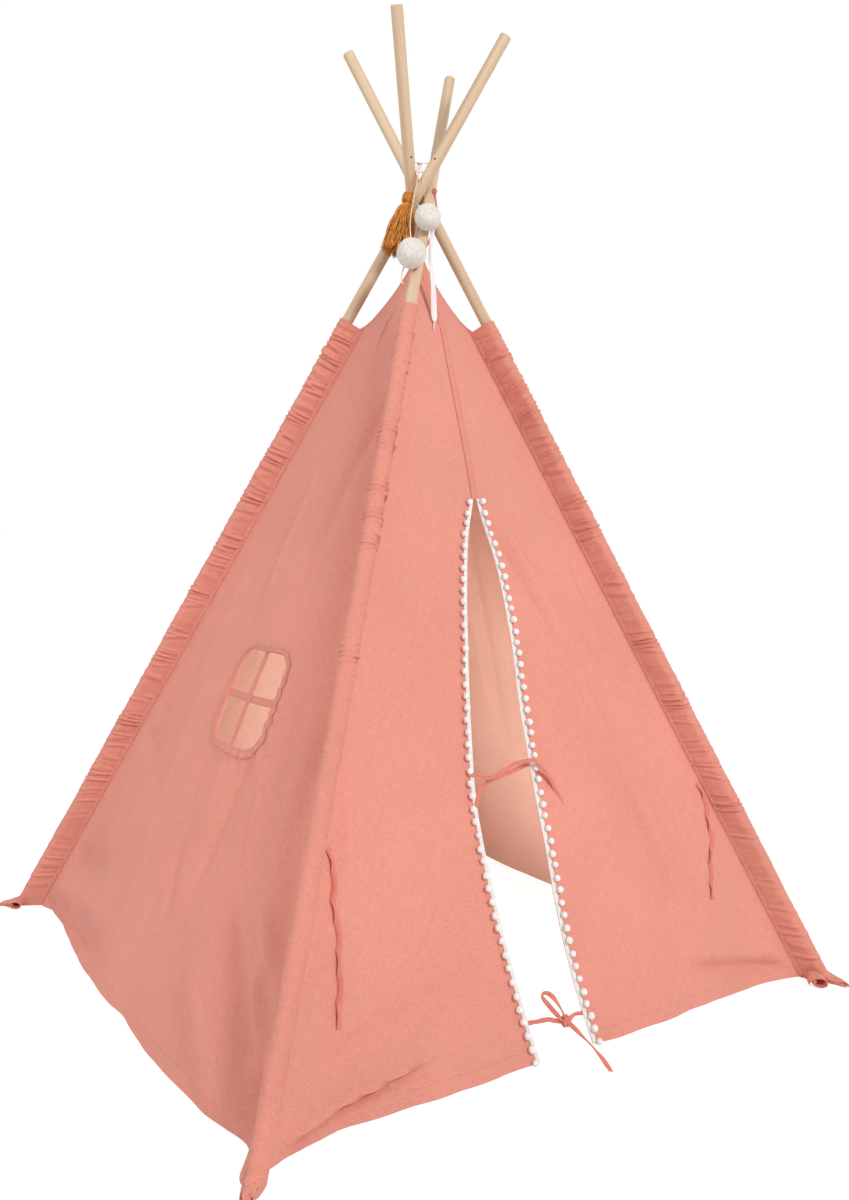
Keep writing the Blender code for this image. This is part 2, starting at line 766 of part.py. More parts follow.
def lashing_span(share):
    """A place on the straight front stretch of the lashing, from the back right to the back left pole."""
    start = POLES["back_right"]
    end = POLES["back_left"]
    low = start.hole() - start.hole_direction() * LASHING_BEND
    high = end.hole() - end.hole_direction() * LASHING_BEND
    return low.lerp(high, share)


def hang_point(share, diameter):
    return lashing_span(share) - UP * (LASHING_DIAMETER / 2 + GAP + diameter / 2)


def ball_centre(drop, turn, diameter):
    return POLES["front_left"].beside(drop, turn, POLE_RADIUS + GAP + diameter / 2)


def build_ball(name, centre, diameter, axis):
    bm = bmesh.new()
    bmesh.ops.create_uvsphere(bm, u_segments=16, v_segments=10, radius=diameter / 2)
    obj = add_object(name, mesh_from(bm, name, 80), "felt", axis)
    obj.location = centre
    return obj


def thread_to(name, points, centre, radius, diameter, colour, axis):
    """A hanging thread, from its loop on the lashing to the top of what it holds."""
    way = (points[-1] - centre).normalized()
    return tube(name, points + [centre + way * (radius + GAP)], diameter, colour, axis)


def turned(name, centre, direction, profile, sides, colour, axis, flute=0.0):
    """A turned body along a direction; flutes press grooves into its sides for strands."""
    turn = rotation_to(direction).to_matrix()
    bm = bmesh.new()
    rings = []
    for radius, level in profile:
        ring = []
        for index in range(sides):
            angle = 2 * math.pi * index / sides
            size = radius * (1 - flute * (index % 2))
            place = Vector((size * math.cos(angle), size * math.sin(angle), level))
            ring.append(bm.verts.new(centre + turn @ place))
        rings.append(ring)
    for lower, upper in zip(rings, rings[1:]):
        bridge(bm, lower, upper)
    bm.faces.new(list(reversed(rings[0])))
    bm.faces.new(rings[-1])
    return add_object(name, mesh_from(bm, name, 40), colour, axis)


def build_tassel(axis):
    pole = POLES["back_left"]
    head_radius = TASSEL_HEAD_DIAMETER / 2
    skirt_radius = TASSEL_SKIRT_DIAMETER / 2
    head = pole.beside(TASSEL_HEAD_DROP, TASSEL_HEAD_TURN_DEG, POLE_RADIUS + GAP + head_radius)
    foot = pole.beside(TASSEL_SKIRT_DROP, TASSEL_SKIRT_TURN_DEG,
                       POLE_RADIUS + skirt_radius + TASSEL_SKIRT_STANDOFF)
    up = (head - foot).normalized()
    half = TASSEL_HEAD_LENGTH / 2
    head_shares = ((0.62, -1), (0.70, -0.8), (1, -0.2), (0.92, 0.5), (0.45, 1))
    skirt_shares = ((0.94, -1), (1, -0.93), (0.78, -0.60), (0.44, -0.25), (0.28, 0))
    head_profile = [(head_radius * a, half * b) for a, b in head_shares]
    skirt_profile = [(skirt_radius * a, TASSEL_SKIRT_LENGTH * b) for a, b in skirt_shares]
    turned("tassel_head", head, up, head_profile, 12, "mustard", axis)
    turned("tassel_skirt", head - up * (half + GAP), up, skirt_profile, TASSEL_STRANDS * 2, "mustard", axis,
           TASSEL_STRAND_DEPTH_SHARE)
    route = [hang_point(TASSEL_HANG_SHARE, THIN_THREAD_DIAMETER), Vector(TASSEL_CORD_PLACE)]
    thread_to("tassel_cord", route, head + up * half, 0, THIN_THREAD_DIAMETER, "mustard", axis)


def build_felt_ball(key, centre, diameter, share, width, axis):
    build_ball("felt_ball_" + key, centre, diameter, axis)
    route = [hang_point(share, width)] + [Vector(place) for place in BALL_THREAD_ROUTES[key]]
    thread_to("ball_thread_" + key, route, centre, diameter / 2, width, "thread", axis)


def build_ball_tail(centre, axis):
    """The lower ball's thread comes out at its underside and ends there."""
    turn, dip = math.radians(BALL_TAIL_TURN_DEG), math.radians(BALL_TAIL_DIP_DEG)
    way = Vector((math.cos(turn) * math.cos(dip), math.sin(turn) * math.cos(dip), -math.sin(dip)))
    start = centre + way * (BALL_LOWER_DIAMETER / 2 + GAP)
    reach = BALL_TAIL_LENGTH / 2
    tube("ball_thread_tail", [start, start + (way - UP) * reach / 2, start - UP * BALL_TAIL_LENGTH],
         THIN_THREAD_DIAMETER, "thread", axis)


# Routes of the crown's ribbons and threads, in the part's own places
TASSEL_CORD_PLACE = (-0.0168, -0.0108, 1.357)
BALL_THREAD_ROUTES = {
    "upper": ((-0.0135, -0.0245, 1.342),),
    "lower": ((-0.0135, -0.0135, 1.357), (-0.0520, -0.0490, 1.260)),
}
APEX_TIE_ROUTE = ((0.0128, -0.0238, 1.3230), (0.0173, -0.0237, 1.2980), (0.0186, -0.0246, 1.2760),
                  (0.0122, -0.0203, 1.2490), (0.0055, -0.0110, 1.2300), (0.0000, 0.0000, 1.2165))
LACE_ROUTE = ((-0.0100, -0.0385, 1.2800), (-0.0070, -0.0500, 1.2570), (-0.0150, -0.0590, 1.2300),
              (-0.0178, -0.0610, 1.1958), (-0.0101, -0.0610, 1.1542), (-0.0090, -0.0630, 1.1200),
              (-0.0115, -0.0700, 1.0920))
AGLET_END_PLACE = (-0.0205, -0.0792, 1.0700)


def build_crown(axis):
    """The lashing through the pole holes, and the ribbon that holds up the peak."""
    tube("lashing_cord_front", lashing_route("back_right", "back_left"), LASHING_DIAMETER, "cord", axis, 3)
    tube("lashing_cord_rear", lashing_route("front_left", "front_right"), LASHING_DIAMETER, "cord", axis, 3)
    pole = POLES["front_left"]
    facing = (pole.out + pole.side).normalized()
    ribbon("apex_tie", APEX_TIE_ROUTE, APEX_TIE_WIDTH, RIBBON_THICKNESS, facing, "cover", axis)


def build_lace(axis):
    """The flat lace that hangs from the front left pole, and its end."""
    pole = POLES["front_left"]
    facing = (pole.out + pole.side * LACE_TURN_SHARE).normalized()
    ribbon("lashing_lace", LACE_ROUTE, LACE_WIDTH, LACE_THICKNESS, facing, "cord", axis)
    start, end = Vector(LACE_ROUTE[-1]), Vector(AGLET_END_PLACE)
    way = (end - start).normalized()
    rod("lace_aglet", start + way * (GAP + AGLET_LENGTH / 2), way, AGLET_DIAMETER / 2, AGLET_LENGTH, 10,
        "aglet", axis)


# Tables of the ribbons' routes: sideways from the door's middle, height, and out from the cloth
UPPER_TIE_LEFT_ROUTE = [(-0.110, 0.384, -0.0015), (-0.099, 0.381, -0.0015), (-0.088, 0.377, 0.0010),
                        (-0.070, 0.374, 0.0060), (-0.041, 0.384, 0.0080), (-0.020, 0.389, 0.0100),
                        (0.006, 0.389, 0.0135), (0.018, 0.380, 0.0140), (0.034, 0.364, 0.0095),
                        (0.050, 0.338, 0.0030), (0.060, 0.312, 0.0018)]
UPPER_TIE_RIGHT_ROUTE = [(0.020, 0.386, -0.0015), (0.006, 0.386, -0.0018), (-0.030, 0.378, -0.0040),
                         (-0.066, 0.372, -0.0040), (-0.082, 0.366, -0.0030), (-0.096, 0.355, -0.0018),
                         (-0.106, 0.338, -0.0015)]
LOWER_TIE_LEFT_ROUTE = [(-0.096, 0.052, -0.0015), (-0.084, 0.052, -0.0015), (-0.070, 0.051, 0.0010),
                        (-0.052, 0.050, 0.0050), (-0.040, 0.049, 0.0062), (-0.0297, 0.048, 0.0065)]
LOWER_TIE_RIGHT_ROUTE = [(0.026, 0.043, -0.0015), (0.014, 0.044, -0.0013), (0.002, 0.045, 0.0012),
                         (-0.012, 0.046, 0.0055), (-0.022, 0.047, 0.0065)]
LOOP_ROUTE = [(-0.022, 0.047, 0.0075), (-0.036, 0.060, 0.0120), (-0.050, 0.079, 0.0150),
              (-0.057, 0.088, 0.0165), (-0.058, 0.084, 0.0230), (-0.050, 0.070, 0.0260),
              (-0.036, 0.056, 0.0190), (-0.022, 0.047, 0.0100)]
TAIL_ROUTE = [(-0.022, 0.047, 0.0085), (-0.008, 0.030, 0.0130), (0.008, 0.014, 0.0240), (0.022, 0.006, 0.0440)]
# Tiebacks: in from the corner's seam, and height
TIEBACK_ROUTES = {
    "left": [(0.0092, 0.318), (0.0210, 0.297), (0.0290, 0.262), (0.0388, 0.240), (0.0592, 0.184),
             (0.0728, 0.130), (0.0796, 0.108)],
    "right": [(0.0091, 0.321), (0.0090, 0.300), (0.0246, 0.268), (0.0410, 0.232), (0.0738, 0.185),
              (0.0990, 0.142)],
}


def build_ties(axes):
    """The pairs of ribbons that close the door, on their flaps."""
    out = door_out()

    def strip(name, route, flap):
        places = [door_point(a, z, o) for a, z, o in route]
        axis = axes["door_flap_" + flap] if flap else None
        return ribbon(name, places, RIBBON_WIDTH, RIBBON_THICKNESS, out, "sleeve", axis)

    strip("upper_tie_left", UPPER_TIE_LEFT_ROUTE, "left")
    strip("upper_tie_right", UPPER_TIE_RIGHT_ROUTE, "right")
    strip("lower_tie_left", LOWER_TIE_LEFT_ROUTE, "left")
    bm = bmesh.new()
    bmesh.ops.create_icosphere(bm, subdivisions=2, radius=0.5)
    bow = add_object("lower_tie_bow", mesh_from(bm, "lower_tie_bow", 60), "sleeve", axes["door_flap_right"])
    bow.location = door_point(*LOOP_ROUTE[0])
    bow.scale = (KNOT_WIDTH, KNOT_DEPTH, KNOT_HEIGHT)
    for name, route in (("right", LOWER_TIE_RIGHT_ROUTE), ("loop", LOOP_ROUTE), ("tail", TAIL_ROUTE)):
        boolean(bow, strip("cutter_bow_" + name, route, None), "UNION")


def build_tiebacks(axes):
    """The ribbons at the corners that hold an opened flap; each hangs on the cloth beside its sleeve."""
    for hand, corner, sign in (("left", "front_left", -1), ("right", "front_right", 1)):
        points = []
        for inset, height in TIEBACK_ROUTES[hand]:
            start, end = side_row("front", height)[:2]
            outer = start if sign < 0 else end
            share = inset / (outer - fold_point(sign, height)).length
            points.append(front_half_point(sign, share, height) + door_out() * TIEBACK_STANDOFF)
        ribbon("tieback_" + hand, points, RIBBON_WIDTH, RIBBON_THICKNESS, door_out(), "sleeve", axes[corner])


def build():
    clear_scene()
    axes = {corner: add_axis("axis_" + corner, POLES[corner].crossing) for corner in CORNERS}
    axes["crown"] = add_axis("axis_crown", POLES["back_right"].crossing)
    for hand, name in ((-1, "door_flap_left"), (1, "door_flap_right")):
        axes[name] = add_axis("axis_" + name, front_middle(DOOR_HEIGHT) + door_out() * CLOTH / 2)
    axes["tassel"] = add_axis("axis_tassel", lashing_span(TASSEL_HANG_SHARE))
    axes["ball_upper"] = add_axis("axis_ball_upper", lashing_span(BALL_UPPER_HANG_SHARE))
    axes["ball_lower"] = add_axis("axis_ball_lower", lashing_span(BALL_LOWER_HANG_SHARE))

    for corner, pole in POLES.items():
        build_pole(pole, axes[corner])
        build_sleeve(pole, axes[corner])
    window_panel = build_side("window", "window_panel", axes["back_left"])
    build_side("right", "right_panel", axes["back_right"])
    build_side("back", "back_panel", axes["back_right"])
    build_window(window_panel, axes["back_left"])
    build_front_half(-1, "front_panel_left", axes["front_left"])
    build_front_half(1, "front_panel_right", axes["front_right"])
    build_placket("centre_seam", axes["front_left"])
    build_flap(-1, "door_flap_left", axes["door_flap_left"])
    build_flap(1, "door_flap_right", axes["door_flap_right"])
    build_trim(-1, "pompom_trim_left", axes["door_flap_left"])
    build_trim(1, "pompom_trim_right", axes["door_flap_right"])
    build_ties(axes)
    build_tiebacks(axes)
    build_crown(axes["crown"])
    build_lace(axes["front_left"])
    build_tassel(axes["tassel"])
    upper = ball_centre(BALL_UPPER_DROP, BALL_UPPER_TURN_DEG, BALL_UPPER_DIAMETER)
    lower = ball_centre(BALL_LOWER_DROP, BALL_LOWER_TURN_DEG, BALL_LOWER_DIAMETER)
    build_felt_ball("upper", upper, BALL_UPPER_DIAMETER, BALL_UPPER_HANG_SHARE, THIN_THREAD_DIAMETER,
                    axes["ball_upper"])
    build_felt_ball("lower", lower, BALL_LOWER_DIAMETER, BALL_LOWER_HANG_SHARE, THREAD_DIAMETER,
                    axes["ball_lower"])
    build_ball_tail(lower, axes["ball_lower"])


build()
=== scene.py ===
"""Dresses the play tent's frame: cotton cover, gathered sleeves, trims, ribbons and the crown's hangings."""
import math
import random

import bmesh
import bpy
import numpy as np
from mathutils import Matrix, Vector, noise
from mathutils.geometry import intersect_line_line


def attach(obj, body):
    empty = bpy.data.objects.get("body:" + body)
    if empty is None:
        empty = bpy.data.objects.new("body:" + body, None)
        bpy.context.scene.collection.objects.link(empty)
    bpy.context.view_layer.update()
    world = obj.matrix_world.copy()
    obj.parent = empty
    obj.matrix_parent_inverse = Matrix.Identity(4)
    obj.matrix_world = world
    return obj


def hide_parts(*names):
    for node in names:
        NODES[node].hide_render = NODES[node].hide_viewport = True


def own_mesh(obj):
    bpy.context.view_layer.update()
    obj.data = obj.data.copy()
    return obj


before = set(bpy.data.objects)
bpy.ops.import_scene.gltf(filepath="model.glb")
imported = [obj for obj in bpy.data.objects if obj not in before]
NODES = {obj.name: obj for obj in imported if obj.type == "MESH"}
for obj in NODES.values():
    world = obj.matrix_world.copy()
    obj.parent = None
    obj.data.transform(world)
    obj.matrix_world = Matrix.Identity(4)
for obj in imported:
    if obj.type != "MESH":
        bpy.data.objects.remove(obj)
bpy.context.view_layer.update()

UP = Vector((0, 0, 1))

# The frame's own sizes, in metres
BASE_WIDTH = 1.056
BASE_DEPTH = 1.024
CROSSING_HEIGHT = 1.320
POLE_LENGTH = 1.793
POLE_RADIUS = 0.010
POLE_GAP = 0.0005
GAP = 0.0003
CORD_HOLE_DROP = 0.230
CORD_HOLE_TURN_DEG = {"front_left": 103.0, "front_right": -97.0, "back_right": -70.0, "back_left": 68.0}
LASHED_TO = {"front_left": "front_right", "front_right": "front_left",
             "back_right": "back_left", "back_left": "back_right"}
CLOTH = 0.0012
SLEEVE_WALL = 0.0008
SLEEVE_INNER = 0.0116
SLEEVE_OUTER = 0.0124
SLEEVE_TAIL = 0.0320
SLEEVE_SEAM = 0.0030
SLEEVE_LENGTH = 1.254
EAR_LENGTHS = {"front_left": 0.0240, "front_right": 0.0340, "back_right": 0.0467, "back_left": 0.0320}
EAR_TURN_DEG = {"front_left": 0.0, "front_right": -46.0, "back_right": 2.6, "back_left": 44.0}
EAR_RISE = 0.0155
EAR_LIP = 0.0072
HEM_CLEARANCE = 0.0010
PEAK_HEIGHT = 1.214
PEAK_RADIUS = 0.0060
PEAK_HOLLOW = 0.0090
SEAM_SPREAD = 0.0012
DOOR_HEIGHT = 0.797
DOOR_SPREAD = 0.105
FOLD_REACH = 0.400
DOOR_LEFT_SHARES = ((0.00, 0.72), (0.08, 0.84), (0.20, 0.95), (0.30, 1.00), (0.42, 0.99), (0.51, 0.91),
                    (0.65, 0.73), (0.71, 0.64), (0.82, 0.47), (0.92, 0.27), (1.00, 0.03))
DOOR_RIGHT_SHARES = ((0.00, 0.26), (0.06, 0.16), (0.12, 0.09), (0.20, 0.04), (0.36, 0.07), (0.50, 0.09),
                     (0.63, 0.11), (0.73, 0.16), (0.87, 0.15), (0.94, 0.08), (1.00, 0.03))
CORNERS = {"front_left": (-1, -1), "front_right": (1, -1), "back_right": (1, 1), "back_left": (-1, 1)}
SIDES = {"front": ("front_left", "front_right", 0.010, 1.0), "right": ("front_right", "back_right", 0.066, 1.85),
         "back": ("back_right", "back_left", 0.030, 1.0), "window": ("back_left", "front_left", -0.028, 1.25)}


# Frame lines, as the solids have them

def smooth_table(table, position):
    last = len(table) - 1
    index = max(0, min(last - 1, sum(1 for item in table[1:] if item[0] <= position)))
    before, start = table[max(index - 1, 0)], table[index]
    end, after = table[index + 1], table[min(index + 2, last)]
    span = end[0] - start[0]
    share = (position - start[0]) / span
    slope_start = (end[1] - before[1]) / (end[0] - before[0]) * span
    slope_end = (after[1] - start[1]) / (after[0] - start[0]) * span
    square, cube = share ** 2, share ** 3
    return ((2 * cube - 3 * square + 1) * start[1] + (cube - 2 * square + share) * slope_start
            + (3 * square - 2 * cube) * end[1] + (cube - square) * slope_end)


def smooth_route(points, steps):
    points = [Vector(p) for p in points]
    ends = [2 * points[0] - points[1]] + points + [2 * points[-1] - points[-2]]
    route = []
    for index in range(len(points) - 1):
        a, b, c, d = ends[index:index + 4]
        for step in range(steps):
            t = step / steps
            route.append(0.5 * (2 * b + (c - a) * t + (2 * a - 5 * b + 4 * c - d) * t ** 2
                                + (3 * b - a - 3 * c + d) * t ** 3))
    route.append(points[-1])
    return route


def foot_point(corner):
    across, along = CORNERS[corner]
    return Vector((across * BASE_WIDTH / 2, along * BASE_DEPTH / 2, 0))


def crossing_point(corner, offset):
    return UP.cross(foot_point(corner).normalized()) * offset + UP * CROSSING_HEIGHT


def line_distance(first, second, offset):
    ends = []
    for corner in (first, second):
        ends += [foot_point(corner), crossing_point(corner, offset)]
    near_first, near_second = intersect_line_line(*ends)
    return (near_first - near_second).length


def crossing_offset():
    names = list(CORNERS)
    distances = [line_distance(names[i], names[i - 1], POLE_RADIUS) for i in range(len(names))]
    return POLE_RADIUS * (POLE_RADIUS * 2 + POLE_GAP) / min(distances)


CROSSING_OFFSET = crossing_offset()


class Pole:
    """A pole's line from the floor up: its ways along, away from the tent's middle and to the side."""

    def __init__(self, corner):
        self.corner = corner
        self.foot = foot_point(corner)
        climb = crossing_point(corner, CROSSING_OFFSET) - self.foot
        self.crossing_along = climb.length
        self.direction = climb.normalized()
        self.radial = self.foot.normalized()
        self.out = (self.radial - self.direction * self.radial.dot(self.direction)).normalized()
        self.side = self.direction.cross(self.out)
        slope = math.sqrt(1 - self.direction.z ** 2)
        self.start = (SLEEVE_WALL + GAP + POLE_RADIUS * slope) / self.direction.z

    def at(self, along, out=0.0, side=0.0):
        return self.foot + self.direction * along + self.out * out + self.side * side

    def beside(self, drop, turn_deg, distance):
        turn = math.radians(turn_deg)
        return self.at(self.crossing_along - drop, distance * math.cos(turn), distance * math.sin(turn))

    def hole(self):
        return self.at(self.start + POLE_LENGTH - CORD_HOLE_DROP)

    def hole_direction(self):
        span = POLES[LASHED_TO[self.corner]].hole() - self.hole()
        turn = math.atan2(span.y, span.x) + math.radians(CORD_HOLE_TURN_DEG[self.corner])
        return Vector((math.cos(turn), math.sin(turn), 0))


POLES = {corner: Pole(corner) for corner in CORNERS}
EDGE_REACH = SLEEVE_TAIL + GAP + CLOTH / 2


def seam_point(pole, height):
    start = pole.at(0, -EDGE_REACH)
    return start + pole.direction * ((height - start.z) / pole.direction.z)


SEAM_TOP = min(pole.at(pole.start + SLEEVE_LENGTH, -EDGE_REACH).z for pole in POLES.values())


def corner_edge(corner, height):
    pole = POLES[corner]
    if height <= SEAM_TOP:
        return seam_point(pole, height)
    share = (height - SEAM_TOP) / (PEAK_HEIGHT - SEAM_TOP)
    low = seam_point(pole, SEAM_TOP)
    tip = pole.radial * PEAK_RADIUS
    hollow = PEAK_HOLLOW * 4 * share * (1 - share)
    place = low.lerp(Vector((tip.x, tip.y, low.z)), share) - pole.radial * hollow
    place.z = height
    return place


def side_row(side, height):
    left, right = SIDES[side][:2]
    start, end = corner_edge(left, height), corner_edge(right, height)
    across = (end - start).normalized()
    return start + across * SEAM_SPREAD, end - across * SEAM_SPREAD, across, across.cross(UP)


def level_share(height):
    return max(0.0, 1 - height / PEAK_HEIGHT)


def side_point(side, share, height):
    start, end, _, outward = side_row(side, height)
    bow, lean = SIDES[side][2:]
    share = max(0.0, min(1.0, share))
    return start.lerp(end, share) - outward * bow * level_share(height) * math.sin(math.pi * share ** lean)


def front_middle(height):
    start, end, _, outward = side_row("front", height)
    return start.lerp(end, 0.5) - outward * SIDES["front"][2] * level_share(height)


def fold_end(hand):
    across = side_row("front", HEM_CLEARANCE)[2]
    return front_middle(HEM_CLEARANCE) + across * FOLD_REACH * hand


def fold_point(hand, height):
    share = (height - HEM_CLEARANCE) / (DOOR_HEIGHT - HEM_CLEARANCE)
    return fold_end(hand).lerp(front_middle(DOOR_HEIGHT), share)


DOOR_ACROSS = (fold_end(1) - fold_end(-1)).normalized()
DOOR_OUT = DOOR_ACROSS.cross(front_middle(DOOR_HEIGHT) - fold_end(1)).normalized()


def door_point(offset, height, out=0.0):
    middle = (fold_point(-1, height) + fold_point(1, height)) / 2
    return middle + DOOR_ACROSS * offset + DOOR_OUT * out


def door_edge_offset(hand, height):
    share = (height - HEM_CLEARANCE) / (DOOR_HEIGHT - HEM_CLEARANCE)
    if hand < 0:
        return -DOOR_SPREAD * smooth_table(DOOR_LEFT_SHARES, share)
    return DOOR_SPREAD * smooth_table(DOOR_RIGHT_SHARES, share)


def front_tangent(height):
    share = max(0.0, min(1.0, (height - DOOR_HEIGHT) / (SEAM_TOP - DOOR_HEIGHT)))
    return DOOR_ACROSS.lerp(side_row("front", height)[2], share).normalized()


def front_outer(hand, height):
    """Where the front's cloth meets its corner seam."""
    return side_row("front", height)[0 if hand < 0 else 1]


def front_inner(hand, height):
    """Where a fixed half of the front ends: at the flap's fold line, and above the door at the middle."""
    return fold_point(hand, height) if height < DOOR_HEIGHT else front_middle(height)


def front_half_point(hand, share, height):
    outer, inner = front_outer(hand, height), front_inner(hand, height)
    tangent = front_tangent(height)
    way_out = tangent.cross(UP)
    rest = 1 - share
    span = outer - inner
    return inner + tangent * span.dot(tangent) * rest + way_out * span.dot(way_out) * rest ** 2


# Camera

CAMERA_PLACE = (-1.0309, -1.5271, 0.7328)
CAMERA_YAW_DEG = 55.09
CAMERA_PITCH_DEG = -3.60
CAMERA_ROLL_DEG = 1.79
CAMERA_LENS = 31.17
SENSOR_HEIGHT = 36


def build_camera():
    yaw, pitch = math.radians(CAMERA_YAW_DEG), math.radians(CAMERA_PITCH_DEG)
    roll = math.radians(CAMERA_ROLL_DEG)
    forward = Vector((math.cos(yaw) * math.cos(pitch), math.sin(yaw) * math.cos(pitch), math.sin(pitch)))
    level = Vector((math.sin(yaw), -math.cos(yaw), 0))
    top = level.cross(forward)
    right = level * math.cos(roll) + top * math.sin(roll)
    top = top * math.cos(roll) - level * math.sin(roll)
    data = bpy.data.cameras.new("camera")
    data.sensor_fit = "VERTICAL"
    data.sensor_height = SENSOR_HEIGHT
    data.lens = CAMERA_LENS
    camera = bpy.data.objects.new("camera", data)
    bpy.context.collection.objects.link(camera)
    camera.matrix_world = Matrix.Translation(CAMERA_PLACE) @ Matrix((right, top, -forward)).transposed().to_4x4()
    bpy.context.scene.camera = camera


# Materials

def srgb(red, green, blue):
    def linear(value):
        value /= 255
        return value / 12.92 if value <= 0.04045 else ((value + 0.055) / 1.055) ** 2.4
    return (linear(red), linear(green), linear(blue), 1)


class Paint:
    """A material's node tree, with short calls for the nodes that it needs."""

    def __init__(self, name):
        self.material = bpy.data.materials.new(name)
        self.material.use_nodes = True
        self.tree = self.material.node_tree
        self.shader = self.tree.nodes["Principled BSDF"]
        self.output = self.tree.nodes["Material Output"]

    def node(self, kind, **values):
        node = self.tree.nodes.new("ShaderNode" + kind)
        for key, value in values.items():
            setattr(node, key, value)
        return node

    def link(self, source, target):
        self.tree.links.new(source, target)

    def object_places(self):
        return self.node("TexCoord").outputs["Object"]

    def weave_places(self):
        return self.node("UVMap", uv_map="weave").outputs["UV"]

    def stretched(self, places, scale, turn=(0, 0, 0)):
        node = self.node("Mapping")
        node.inputs["Scale"].default_value = scale
        node.inputs["Rotation"].default_value = turn
        self.link(places, node.inputs["Vector"])
        return node.outputs["Vector"]

    def noise(self, places, scale, detail=2.0, roughness=0.5, distortion=0.0):
        node = self.node("TexNoise")
        self.link(places, node.inputs["Vector"])
        node.inputs["Scale"].default_value = scale
        node.inputs["Detail"].default_value = detail
        node.inputs["Roughness"].default_value = roughness
        node.inputs["Distortion"].default_value = distortion
        return node.outputs["Fac"]

    def wave(self, places, scale, distortion, bands):
        node = self.node("TexWave", bands_direction=bands)
        self.link(places, node.inputs["Vector"])
        node.inputs["Scale"].default_value = scale
        node.inputs["Distortion"].default_value = distortion
        return node.outputs["Fac"]

    def weighed(self, first, first_share, second, second_share):
        return self.math("ADD", self.math("MULTIPLY", first, first_share),
                         self.math("MULTIPLY", second, second_share))

    def math(self, operation, first, second):
        node = self.node("Math", operation=operation)
        for index, value in enumerate((first, second)):
            if isinstance(value, (int, float)):
                node.inputs[index].default_value = value
            else:
                self.link(value, node.inputs[index])
        return node.outputs["Value"]

    def ramp(self, factor, stops):
        node = self.node("ValToRGB")
        elements = node.color_ramp.elements
        while len(elements) < len(stops):
            elements.new(0.5)
        for element, (place, colour) in zip(elements, stops):
            element.position = place
            element.color = colour
        self.link(factor, node.inputs["Fac"])
        return node.outputs["Color"]

    def mix(self, factor, first, second, blend="MIX"):
        node = self.node("Mix", data_type="RGBA", blend_type=blend)
        for socket, value in (("Factor", factor), ("A", first), ("B", second)):
            target = next(i for i in node.inputs if i.name == socket
                          and (i.type == "RGBA" if socket != "Factor" else i.type == "VALUE"))
            if isinstance(value, (int, float, tuple)):
                target.default_value = value
            else:
                self.link(value, target)
        return next(o for o in node.outputs if o.type == "RGBA")

    def mix_shaders(self, factor, first, second):
        node = self.node("MixShader")
        if isinstance(factor, float):
            node.inputs["Fac"].default_value = factor
        else:
            self.link(factor, node.inputs["Fac"])
        self.link(first, node.inputs[1])
        self.link(second, node.inputs[2])
        return node.outputs["Shader"]

    def bump(self, height, distance, strength=1.0, below=None):
        node = self.node("Bump")
        node.inputs["Distance"].default_value = distance
        node.inputs["Strength"].default_value = strength
        self.link(height, node.inputs["Height"])
        if below is not None:
            self.link(below, node.inputs["Normal"])
        return node.outputs["Normal"]

    def finish(self, colour, normal=None, **values):
        self.link(colour, self.shader.inputs["Base Color"])
        if normal is not None:
            self.link(normal, self.shader.inputs["Normal"])
        for key, value in values.items():
            self.shader.inputs[key.replace("_", " ")].default_value = value
        return self.material


CANVAS_THREAD_SCALES = (1500, 70)
CANVAS_SPECK_SCALE = 620
CANVAS_WEAVE_SCALE = 190


def canvas(name, light, deep, through, glow=0.20):
    """Plain-woven cotton: slubs along both threads, soft mottling and a little light that comes through."""
    paint = Paint(name)
    uv, places = paint.weave_places(), paint.object_places()
    across, along = CANVAS_THREAD_SCALES
    warp = paint.noise(paint.stretched(uv, (across, along, 1)), 1.0, 3)
    weft = paint.noise(paint.stretched(uv, (along, across, 1)), 1.0, 3)
    threads = paint.math("MULTIPLY", paint.math("ADD", warp, weft), 0.5)
    speckle = paint.noise(paint.stretched(uv, (CANVAS_SPECK_SCALE, CANVAS_SPECK_SCALE, 1)), 1.0, 2)
    tone = paint.weighed(threads, 0.60, speckle, 0.40)
    colour = paint.ramp(tone, [(0.38, deep), (0.50, light), (0.62, lighter(light, 1.10))])
    cloud = paint.noise(places, scale=5.0, detail=3, roughness=0.55)
    mottling = paint.ramp(cloud, [(0.35, (0.72, 0.72, 0.72, 1)), (0.65, (1, 1, 1, 1))])
    colour = paint.mix(0.22, colour, mottling, "MULTIPLY")
    over, under = (paint.wave(uv, CANVAS_WEAVE_SCALE, 0.4, bands) for bands in "XY")
    weave = paint.math("ADD", paint.math("MULTIPLY", over, under), paint.math("MULTIPLY", threads, 1.6))
    crumple = paint.noise(places, scale=38.0, detail=3, roughness=0.5, distortion=0.3)
    normal = paint.bump(crumple, distance=0.0022, strength=0.55)
    normal = paint.bump(weave, distance=0.00030, strength=0.65, below=normal)
    material = paint.finish(colour, normal, Roughness=0.92, Sheen_Weight=0.18, Sheen_Roughness=0.45)
    translucent = paint.node("BsdfTranslucent")
    translucent.inputs["Color"].default_value = through
    both = paint.mix_shaders(glow, paint.shader.outputs["BSDF"], translucent.outputs["BSDF"])
    paint.link(both, paint.output.inputs["Surface"])
    return material


def lighter(colour, factor):
    return tuple(min(1.0, value * factor) for value in colour[:3]) + (1,)


WOOD_SHIFT = (0.31, 0.17, 0.73)


